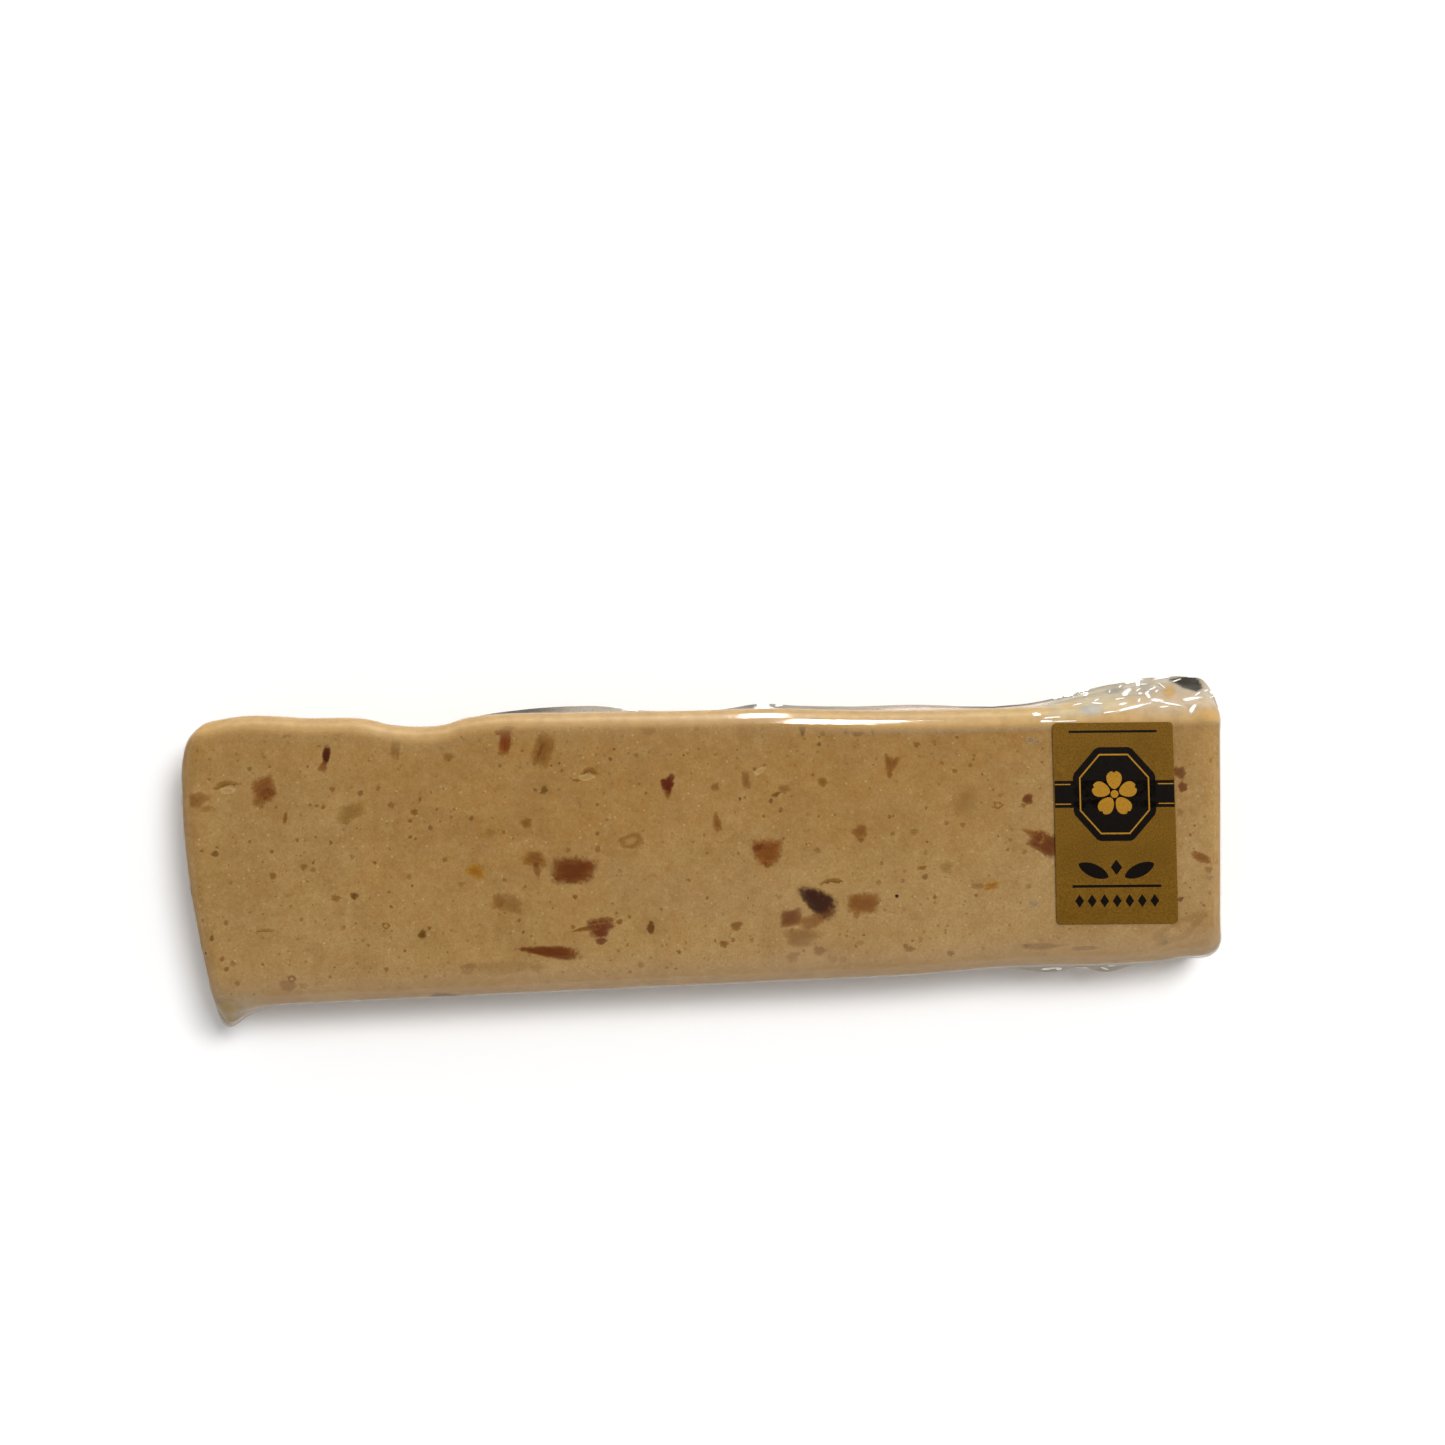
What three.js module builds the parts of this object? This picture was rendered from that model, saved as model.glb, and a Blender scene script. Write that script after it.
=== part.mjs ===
// A nougat bar, heat-sealed in clear film, with a paper label on its face.
// Millimetres, +Z up. The bar lies flat on its back with the label upwards, its long side
// runs along X, and the origin is in the middle of the underside of its bounding box.

import * as THREE from 'three';
import { mergeVertices } from 'three/addons/utils/BufferGeometryUtils.js';

// Bar, measured over the film
const LENGTH = 201;
const WIDTH = 52;
const THICKNESS = 19.4; // at the rims
const CROWN = 0.6; // extra thickness along the middle of the face
const RIM_RADIUS = 4;
const RIM_STEPS = 3; // mesh steps in 45 degrees of a rounded rim
const LONG_STEPS = 46;
const CROSS_STEPS = 8;

// The four sides as the bar was cut: [distance along the side, where the side lies]
const FAR_SIDE = [
  [-100, 27.0], [-88, 28.7], [-76, 27.9], [-65, 27.4], [-60, 26.1], [-50, 25.7], [-45, 27.0],
  [-22, 27.3], [0, 27.0], [13, 27.0], [33, 26.0], [56, 25.6], [100, 25.3],
];
const NEAR_SIDE = [
  [-100, -27.8], [-77, -27.4], [15, -26.0], [40, -25.6], [58, -24.7], [86, -24.6], [93, -23.8],
  [100, -23.8],
];
const LEFT_END = [
  [-27, -94.6], [-22, -95.7], [-11, -98.1], [4, -100.3], [14, -100.8], [20, -100.6], [26, -98.8],
];
const RIGHT_END = [[-25, 99.3], [6, 100.8], [26, 101.7]];

// Seam of the film: a fin half way up, with what it stands out by along the far and near sides
const SEAM_HEIGHT = 10;
const SEAM_HALF = 0.8; // half the height of the fin's foot
const FAR_SEAM = [
  [-100, 0.5], [-48, 0.4], [-40, 0.9], [-22, 1.9], [-10, 0.7], [5, 0.7], [12, 1.5],
  [20, 1.2], [28, 1.3], [44, 1.6], [53, 1.1], [100, 0.8],
];
const NEAR_SEAM = [
  [-100, 0.2], [58, 0.2], [67, 1.2], [73, 0.4], [78, 1.4], [84, 0.2], [100, 0.4],
];
const END_SEAM = 0.8;

// Film standing off the bar: a tented fold on the far side that grows towards the right end
const TENT_REACH = [[58, 0], [66, 0.7], [74, 2.4], [84, 4.4], [95, 5.2], [98, 4.6], [102, 2.2]];
const TENT_BOTTOM = 1; // height at which it leaves the side again

// Corners where the film is pinched out: where, which way and how far
const PINCHED_CORNERS = [
  { place: [-93.4, -26.8], push: [0.2, -4.4], radius: 3.1 },
  { place: [99.5, -22.5], push: [0.4, -0.4], radius: 3.5 },
  { place: [100.5, 26], push: [0.9, 0.4], radius: 4 },
];

// Label
const LABEL_WIDTH = 23.2;
const LABEL_HEIGHT = 38.7;
const LABEL_THICKNESS = 0.2;
const LABEL_CORNER = 0.8;
const LABEL_GAP = 0.12; // to the film under it
const LABEL_PLACE = [79.4, 2.3];
const LABEL_TURN = THREE.MathUtils.degToRad(-1.3);

// A smooth line through the points, held level beyond the first and the last
function lineThrough(points) {
  const places = points.map((point) => point[0]);
  const values = points.map((point) => point[1]);
  const line = new THREE.CubicInterpolant(places, values, 1, [0]);
  return (place) => line.evaluate(THREE.MathUtils.clamp(place, places[0], places.at(-1)))[0];
}

const farSide = lineThrough(FAR_SIDE);
const nearSide = lineThrough(NEAR_SIDE);
const leftEnd = lineThrough(LEFT_END);
const rightEnd = lineThrough(RIGHT_END);
const farSeam = lineThrough(FAR_SEAM);
const nearSeam = lineThrough(NEAR_SEAM);
const tentReach = lineThrough(TENT_REACH);

// Height of the face above the underside
function faceHeight(y) {
  return THICKNESS + CROWN * (1 - (2 * y / WIDTH) ** 2);
}

// Mesh lines across one direction of a block: even angles in the rounded rims, even steps
// between them, or the lines that are given
function meshLines(half, radius, rimSteps, between) {
  const rim = [];
  for (let i = 0; i <= rimSteps; i += 1) {
    rim.push(half - radius + radius * Math.tan(((1 - i / rimSteps) * Math.PI) / 4));
  }
  const middle = Array.isArray(between)
    ? between
    : Array.from({ length: between - 1 }, (_, i) => (half - radius) * ((2 * (i + 1)) / between - 1));
  return [...rim.map((line) => -line), ...middle, ...rim.reverse()];
}

// A closed block on those lines, with merged corners, before it is given its shape
function blockOnLines(linesX, linesY, linesZ) {
  const counts = [linesX, linesY, linesZ].map((lines) => lines.length - 1);
  const box = new THREE.BoxGeometry(1, 1, 1, ...counts);
  box.deleteAttribute('normal');
  box.deleteAttribute('uv');
  const block = mergeVertices(box, 1e-4);
  const spots = block.getAttribute('position');
  const lineAt = (lines, place) => lines[Math.round((place + 0.5) * (lines.length - 1))];
  for (let i = 0; i < spots.count; i += 1) {
    spots.setXYZ(
      i,
      lineAt(linesX, spots.getX(i)),
      lineAt(linesY, spots.getY(i)),
      lineAt(linesZ, spots.getZ(i)),
    );
  }
  return block;
}

// Moves every vertex of a block to where the shape function puts it
function shapeBlock(block, shape) {
  const spots = block.getAttribute('position');
  const spot = new THREE.Vector3();
  for (let i = 0; i < spots.count; i += 1) {
    shape(spot.fromBufferAttribute(spots, i));
    spots.setXYZ(i, spot.x, spot.y, spot.z);
  }
  return block;
}

// The fin's profile over the height: a sharp ridge at the seam
function finAt(z) {
  return Math.max(0, 1 - Math.abs(z - SEAM_HEIGHT) / SEAM_HALF);
}

// The tent's profile over the height: from the face down to the seam and back under it
function tentAt(z) {
  const reach = z > SEAM_HEIGHT ? THICKNESS - SEAM_HEIGHT : SEAM_HEIGHT - TENT_BOTTOM;
  return Math.max(0, 1 - Math.abs(z - SEAM_HEIGHT) / reach);
}

// How far the pinched corners pull a spot out
function cornerPinch(spot) {
  const pull = new THREE.Vector2();
  for (const { place, push, radius } of PINCHED_CORNERS) {
    const away = Math.hypot(spot.x - place[0], spot.y - place[1]);
    pull.addScaledVector(new THREE.Vector2(...push), Math.exp(-((away / radius) ** 2)));
  }
  return pull;
}

// Bar in its film, with the seam, the fold and the corners in one skin
function wrappedBar() {
  const half = new THREE.Vector3(LENGTH, WIDTH, THICKNESS).multiplyScalar(0.5);
  const core = half.clone().subScalar(RIM_RADIUS);
  const seamLines = [-1, 0, 1].map((side) => SEAM_HEIGHT - half.z + side * SEAM_HALF);
  const block = blockOnLines(
    meshLines(half.x, RIM_RADIUS, RIM_STEPS, LONG_STEPS),
    meshLines(half.y, RIM_RADIUS, RIM_STEPS, CROSS_STEPS),
    meshLines(half.z, RIM_RADIUS, RIM_STEPS, [seamLines[0] - 2, ...seamLines, seamLines[2] + 2]),
  );
  const inner = new THREE.Vector3();
  const out = new THREE.Vector3();
  return shapeBlock(block, (spot) => {
    inner.copy(spot).clamp(core.clone().negate(), core);
    out.copy(spot).sub(inner).normalize();
    spot.copy(inner).addScaledVector(out, RIM_RADIUS);

    const alongShare = spot.x / LENGTH + 0.5;
    const acrossShare = spot.y / WIDTH + 0.5;
    const up = spot.z + half.z;
    const bulge = up / THICKNESS;
    spot.x = THREE.MathUtils.lerp(leftEnd(spot.y), rightEnd(spot.y), alongShare);
    spot.z = up + (faceHeight(spot.y) - THICKNESS) * bulge;
    spot.y = THREE.MathUtils.lerp(nearSide(spot.x), farSide(spot.x), acrossShare);

    const fin = finAt(up);
    const tent = tentAt(up);
    const seam = out.y > 0 ? farSeam(spot.x) : nearSeam(spot.x);
    const fold = out.y > 0 ? tentReach(spot.x) : 0;
    const pinch = cornerPinch(spot).multiplyScalar(tent * Math.hypot(out.x, out.y));
    spot.x += out.x * fin * END_SEAM + pinch.x;
    spot.y += out.y * (fin * seam + tent * fold) + pinch.y;
  });
}

// Label: a thin plate that follows the face
function labelPlate() {
  const corner = LABEL_CORNER;
  const half = new THREE.Vector3(LABEL_WIDTH, LABEL_HEIGHT, LABEL_THICKNESS).multiplyScalar(0.5);
  const core = half.clone().subScalar(corner);
  const block = blockOnLines(
    meshLines(half.x, corner, RIM_STEPS, 4),
    meshLines(half.y, corner, RIM_STEPS, CROSS_STEPS),
    [-half.z, half.z],
  );
  return shapeBlock(block, (spot) => {
    const innerX = THREE.MathUtils.clamp(spot.x, -core.x, core.x);
    const innerY = THREE.MathUtils.clamp(spot.y, -core.y, core.y);
    const overX = spot.x - innerX;
    const overY = spot.y - innerY;
    const reach = Math.max(Math.abs(overX), Math.abs(overY));
    const away = Math.hypot(overX, overY) || 1;
    const flatX = innerX + (overX / away) * reach;
    const flatY = innerY + (overY / away) * reach;
    spot.x = LABEL_PLACE[0] + flatX * Math.cos(LABEL_TURN) - flatY * Math.sin(LABEL_TURN);
    spot.y = LABEL_PLACE[1] + flatX * Math.sin(LABEL_TURN) + flatY * Math.cos(LABEL_TURN);
    spot.z += faceHeight(spot.y) + LABEL_GAP + half.z;
  });
}

function piece(name, geometry, color, roughness, metalness) {
  const mesh = new THREE.Mesh(geometry, new THREE.MeshStandardMaterial({ color, roughness, metalness }));
  mesh.name = name;
  return mesh;
}

const bar = new THREE.Group();
bar.add(piece('wrapped_bar', wrappedBar(), 0xa07c4a, 0.35, 0));
bar.add(piece('label', labelPlate(), 0x735220, 0.4, 0.3));

// Sets the underside's middle on the origin
const bounds = new THREE.Box3().setFromObject(bar);
const middle = bounds.getCenter(new THREE.Vector3());
bar.position.set(-middle.x, -middle.y, -bounds.min.z);

export default bar;
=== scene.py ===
"""Nougat bar, heat-sealed in clear film, with its bits of almond and a gold paper label.

Metres, +Z up. The bar lies on its flat back with its long side along X and the sealed
edge of the film towards +Y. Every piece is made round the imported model, which is the frame.
"""

import math
import random

import bmesh
import bpy
import numpy as np
from bpy.props import FloatProperty, FloatVectorProperty, IntProperty, PointerProperty
from bpy.types import Operator, Panel, PropertyGroup
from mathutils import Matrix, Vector, noise


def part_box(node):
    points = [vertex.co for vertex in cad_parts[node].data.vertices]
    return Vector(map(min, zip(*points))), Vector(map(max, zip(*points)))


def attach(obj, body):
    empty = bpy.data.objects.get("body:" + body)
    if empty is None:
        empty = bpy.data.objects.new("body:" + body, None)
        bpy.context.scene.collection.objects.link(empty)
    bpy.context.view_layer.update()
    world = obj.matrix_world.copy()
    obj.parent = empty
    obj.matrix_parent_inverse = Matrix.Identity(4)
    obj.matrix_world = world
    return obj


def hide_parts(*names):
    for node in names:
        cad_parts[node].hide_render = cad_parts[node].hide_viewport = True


bl_info = {
    "name": "Nougat Bar in Clear Film",
    "version": (1, 0, 0),
    "blender": (4, 5, 0),
    "location": "View3D > Sidebar > Nougat Bar",
    "description": "Nougat bar with bits of almond, sealed in clear film, with a gold paper label",
    "category": "Add Mesh",
}

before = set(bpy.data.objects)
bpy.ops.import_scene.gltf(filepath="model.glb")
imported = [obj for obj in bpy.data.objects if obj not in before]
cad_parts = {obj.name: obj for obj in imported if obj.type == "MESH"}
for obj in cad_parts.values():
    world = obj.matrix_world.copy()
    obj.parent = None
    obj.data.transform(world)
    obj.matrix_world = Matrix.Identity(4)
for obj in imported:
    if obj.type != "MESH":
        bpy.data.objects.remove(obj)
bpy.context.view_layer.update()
LABEL_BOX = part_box("label")

MM = 0.001
BODY = "root"
# How much brighter the stage lights the face than it takes to show a colour as it is
STAGE_LIGHT = 1.1
# The same for the film's far slope, which faces the light behind
SLOPE_LIGHT = 1.25

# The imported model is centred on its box, and the lines below run from the middle of the bar
BAR_SHIFT = np.array((-0.483, 0.057, 0.0)) * MM

# The four sides as the bar was cut, in millimetres: (distance along the side, where it lies)
FAR_SIDE = (
    (-100, 27.0), (-88, 28.7), (-76, 27.9), (-65, 27.4), (-60, 26.1), (-50, 25.7), (-45, 27.0),
    (-22, 27.3), (0, 27.0), (13, 27.0), (33, 26.0), (56, 25.6), (100, 25.3),
)
NEAR_SIDE = (
    (-100, -27.8), (-77, -27.4), (15, -26.0), (40, -25.6), (58, -24.7), (86, -24.6),
    (93, -23.8), (100, -23.8),
)
LEFT_END = (
    (-27, -94.6), (-22, -95.7), (-11, -98.1), (4, -100.3), (14, -100.8), (20, -100.6), (26, -98.8),
)
RIGHT_END = ((-25, 99.3), (6, 100.8), (26, 101.7))

# The film's seam: how far its fin stands out along the far and the near side
FAR_SEAM = (
    (-100, 0.5), (-48, 0.4), (-40, 0.9), (-22, 1.9), (-10, 0.7), (5, 0.7), (12, 1.5),
    (20, 1.2), (28, 1.3), (44, 1.6), (53, 1.1), (100, 0.8),
)
NEAR_SEAM = (
    (-100, 0.2), (58, 0.2), (67, 1.2), (73, 0.4), (78, 1.4), (84, 0.2), (100, 0.4),
)
END_SEAM = 0.8
SEAM_HALF = 0.8  # half the height of the fin's foot

# The film's tented fold on the far side, by how far it reaches out, and how low it leaves the side
TENT_REACH = ((58, 0), (66, 0.7), (74, 2.4), (84, 4.4), (95, 5.2), (98, 4.6), (102, 2.2))
TENT_DEPTH = max(reach for _, reach in TENT_REACH)
TENT_BOTTOM = 1
# Which way the crumpled facets are lifted
CRUMPLE_WAY = (0.0, 0.64, 0.77)
# How much of a pinched corner the nougat fills, and how far it lies under its film's gap
PINCH_FILL = 0.85
NOUGAT_SUNK = 0.03

# How far over the surface bits are laid out, before they are pressed onto it
LAID_OVER_FACE = 0.3
LAID_OVER_SIDE = 0.2
# Seeds of the random draws
BIT_SEED, SPECK_SEED, CREASE_SEED, FACET_SEED = 21, 5, 8, 4
# Marks of the film: how far over it they lie, and how thick they are
MARK_LIFT = 0.03
MARK_WALL = 0.02

# Height at which places are read off, and the camera's target there
FACE_LEVEL = 20.0
CAMERA_TARGET = (4.115, 24.057, FACE_LEVEL)
SENSOR_WIDTH = 36.0

# Corners where the film is pinched out: (x, y), (push in x, in y), radius
PINCHED_CORNERS = (
    ((-93.4, -26.8), (0.1, -4.2), 3.1),
    ((-88.6, -26.8), (0.0, -1.1), 3.2),
    ((99.5, -22.5), (0.4, -0.4), 3.5),
    ((100.5, 26.0), (0.9, 0.4), 4.0),
)

# How cloudy the film's far fin looks along the bar, and how dark, the dark being painted shade for the
# doubled film's dark reflection
FAR_HAZE = (
    (-100, 0.05), (-46, 0.05), (-41, 0.6), (-30, 0.65), (-24, 0.5), (-14, 0.45), (-9, 0.3),
    (5, 0.35), (8, 0.85), (14, 0.9), (25, 0.85), (29, 0.6), (36, 0.55), (50, 0.6), (55, 0.95),
    (72, 0.95), (78, 0.8), (102, 0.7),
)
FAR_SHADE = (
    (-100, 0.1), (-44, 0.3), (-40, 0.95), (-29, 0.9), (-25, 0.45), (-14, 0.45), (-8, 0.3),
    (6, 0.5), (9, 0.72), (13, 0.74), (16, 0.55), (24, 0.5), (30, 0.3), (36, 0.2), (50, 0.3),
    (56, 0.85), (68, 0.8), (80, 0.5), (84, 0.1), (102, 0.0),
)


def tone(red, green, blue):
    """A colour given in steps of 255 as it shows, in the light values that shaders take."""
    shares = [channel / 255 for channel in (red, green, blue)]
    return tuple(s / 12.92 if s <= 0.04045 else ((s + 0.055) / 1.055) ** 2.4 for s in shares)


def under_film(red, green, blue):
    """A bit's own colour, from how it shows through the film's faint gloss."""
    gain, gloss, through = 1.02, 0.004, 0.95
    lights = tone(red, green, blue)
    return tuple(max(0.001, (light * gain - gloss) / through / STAGE_LIGHT) for light in lights)


def on_slope(red, green, blue):
    """A tint of the film, from how it shows on the film's far slope."""
    return tuple(light / SLOPE_LIGHT for light in tone(red, green, blue))


# Grains in the nougat, and the film where it is clear
DUST_BROWN = (0.136, 0.071, 0.011, 1.0)
GRAIN_BROWN = (0.100, 0.046, 0.009, 1.0)
CLEAR_TONE = (0.98, 0.98, 0.97, 1.0)
# painted highlight: the white of the film's creases
GLINT_WHITE = (0.97, 0.95, 0.86, 1.0)

# Tones of the almond bits
PLUM = under_film(54, 24, 15)
DARK_RED = under_film(92, 38, 12)
BLACK_BROWN = under_film(76, 34, 12)
RED_BROWN = under_film(104, 56, 24)
RUST = under_film(124, 74, 30)
BRIGHT_RUST = under_film(120, 62, 20)
BROWN = under_film(128, 84, 36)
DARK_BROWN = under_film(96, 58, 24)
OLIVE_BROWN = under_film(130, 88, 36)
DARK_OLIVE = under_film(106, 72, 28)
OLIVE = under_film(140, 104, 50)
YELLOW_BROWN = under_film(152, 104, 26)
TAN_RED = under_film(132, 84, 40)
PINK_BROWN = under_film(132, 92, 54)
PURPLE_BROWN = under_film(106, 58, 36)
PALE = under_film(196, 166, 118)

# Bits of almond that show in the face, in millimetres from the middle of the bar:
# shape, x, y, length, width, turn in degrees, tone, strength
SKINS_IN_FACE = (
    # dark skins and seeds
    ("seed", -72.3, 20.0, 3.4, 1.6, 84, BLACK_BROWN, 1.0),
    ("crumb", -73.0, 17.9, 2.0, 1.4, 60, RUST, 0.7),
    ("block", -84.3, 13.9, 4.6, 4.5, 24, RUST, 0.8),
    ("crumb", -83.6, 12.9, 2.6, 2.4, 20, RED_BROWN, 0.6),
    ("crumb", -84.9, 11.0, 1.5, 1.6, 20, OLIVE_BROWN, 0.5),
    ("crumb", -97.2, 12.3, 4.0, 2.8, 10, RUST, 0.5),
    ("crumb", -61.3, 25.1, 1.7, 1.2, 40, RED_BROWN, 0.8),
    ("cigar", -80.2, 8.2, 2.0, 0.8, 80, BROWN, 0.8),
    ("cigar", -37.8, 22.2, 5.4, 2.1, 82, BRIGHT_RUST, 1.0),
    ("crumb", -38.9, 23.6, 1.8, 1.1, 10, BRIGHT_RUST, 0.85),
    ("crumb", -37.0, 24.5, 1.6, 1.0, 0, RUST, 0.7),
    ("crumb", -38.2, 19.6, 0.9, 0.7, 0, BROWN, 0.6),
    ("crumb", -6.5, 12.3, 2.2, 2.7, 10, DARK_RED, 1.0),
    ("wedge", -6.0, 13.2, 2.4, 1.5, 60, DARK_RED, 0.8),
    ("crumb", -6.4, 10.4, 1.2, 1.4, 0, OLIVE_BROWN, 0.8),
    ("block", -24.6, -3.8, 8.2, 4.7, -4, RED_BROWN, 1.0),
    ("bowl", -32.1, -1.2, 4.6, 2.7, 168, BROWN, 0.85),
    ("crumb", -31.8, -2.4, 1.1, 0.8, 0, DARK_BROWN, 0.9),
    ("crumb", -31.6, -3.5, 1.3, 2.3, 8, BROWN, 0.7),
    ("crumb", -19.4, -14.9, 4.2, 3.5, 10, PURPLE_BROWN, 1.0),
    ("wedge", -22.2, -15.0, 5.0, 1.5, 10, BROWN, 0.9),
    ("crumb", -18.6, -13.5, 3.4, 1.2, 6, BROWN, 0.8),
    ("crumb", -19.3, -17.5, 2.1, 1.2, 5, PURPLE_BROWN, 0.85),
    ("crumb", -24.7, -14.6, 0.8, 0.7, 0, BROWN, 0.7),
    ("crumb", -15.7, -13.9, 1.2, 1.0, 30, BROWN, 0.8),
    ("seed", -9.6, -15.5, 1.9, 1.6, 90, DARK_BROWN, 0.85),
    ("crumb", -9.6, -14.3, 0.8, 0.8, 0, DARK_BROWN, 0.7),
    ("drop", -29.4, -19.3, 10.8, 3.1, -7, RED_BROWN, 1.0),
    ("bowl", 12.7, -1.4, 5.8, 4.7, -2, RUST, 0.95),
    ("crumb", 11.0, -0.3, 2.2, 1.4, 20, RED_BROWN, 0.6),
    ("crumb", 12.9, -3.7, 1.6, 1.2, 0, RED_BROWN, 0.6),
    ("seed", 22.2, -11.2, 7.3, 4.5, -38, PLUM, 1.0),
    ("crumb", 21.4, -14.9, 5.0, 2.4, 10, RUST, 0.6),
    ("crumb", 24.4, -13.2, 2.4, 1.8, 50, RUST, 0.5),
    ("block", 17.3, -14.2, 4.0, 3.0, 8, RED_BROWN, 0.85),
    ("vee", 36.6, 14.9, 4.0, 3.4, 78, BROWN, 0.9),
    ("crumb", 36.4, 13.0, 1.5, 0.9, 90, BROWN, 0.6),
    ("crumb", 30.7, 2.1, 2.6, 2.4, 40, BROWN, 0.85),
    ("crumb", 30.8, 0.5, 1.2, 0.9, 0, BROWN, 0.6),
    ("wedge", 19.6, 22.0, 1.9, 1.7, 90, DARK_OLIVE, 0.8),
    ("cigar", 3.1, 4.8, 3.2, 1.5, 100, BROWN, 0.8),
    ("block", 8.7, 12.8, 3.6, 1.7, 92, BROWN, 0.6),
    ("crumb", 37.8, -10.6, 0.7, 0.6, 0, PLUM, 0.95),
    ("crumb", 63.0, 7.4, 1.9, 1.7, 50, RED_BROWN, 0.9),
    ("crumb", 62.2, 6.2, 0.9, 0.8, 0, RED_BROWN, 0.5),
    ("block", 66.5, -1.4, 5.6, 4.0, -34, RED_BROWN, 0.95),
    ("wedge", 64.2, 0.5, 4.2, 2.8, -25, TAN_RED, 0.85),
    ("crumb", 92.3, 11.6, 2.4, 1.9, 140, RED_BROWN, 0.75),
    ("crumb", 92.9, 8.8, 1.8, 1.6, 100, RED_BROWN, 0.8),
    ("cigar", 96.6, -5.0, 3.9, 1.7, -25, RUST, 0.75),
    ("crumb", 92.5, -12.9, 1.2, 0.8, 25, RED_BROWN, 0.7),
    ("crumb", 98.2, -7.3, 1.8, 1.0, 0, RUST, 0.45),
    ("crumb", -79.8, -24.4, 2.7, 2.3, 0, RUST, 0.5),
    ("ring", -79.0, -23.0, 1.3, 1.1, 0, RED_BROWN, 0.7),
    ("crumb", -44.9, -22.0, 2.8, 2.0, 15, RUST, 0.35),
    ("crumb", 65.6, -21.2, 6.5, 1.2, 0, RED_BROWN, 0.4),
    ("crumb", 74.0, -21.9, 4.6, 0.9, 0, RED_BROWN, 0.35),
    ("crumb", 62.7, -21.1, 1.0, 0.8, 0, RED_BROWN, 0.5),
    ("crumb", 6.9, -15.4, 2.0, 1.5, 20, BROWN, 0.75),
    ("crumb", 4.4, -18.8, 1.6, 1.2, 0, BROWN, 0.75),
    ("crumb", 17.7, -21.8, 2.4, 1.7, 30, BROWN, 0.5),
    ("crumb", 19.4, -18.0, 5.9, 3.3, 4, PINK_BROWN, 0.6),
    ("block", 42.6, -5.3, 1.8, 0.8, 0, BROWN, 0.75),
    ("crumb", 48.2, -22.0, 1.3, 1.0, 0, BROWN, 0.8),
    ("crumb", 41.6, 18.7, 1.2, 1.0, 0, BROWN, 0.65),
)
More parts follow.
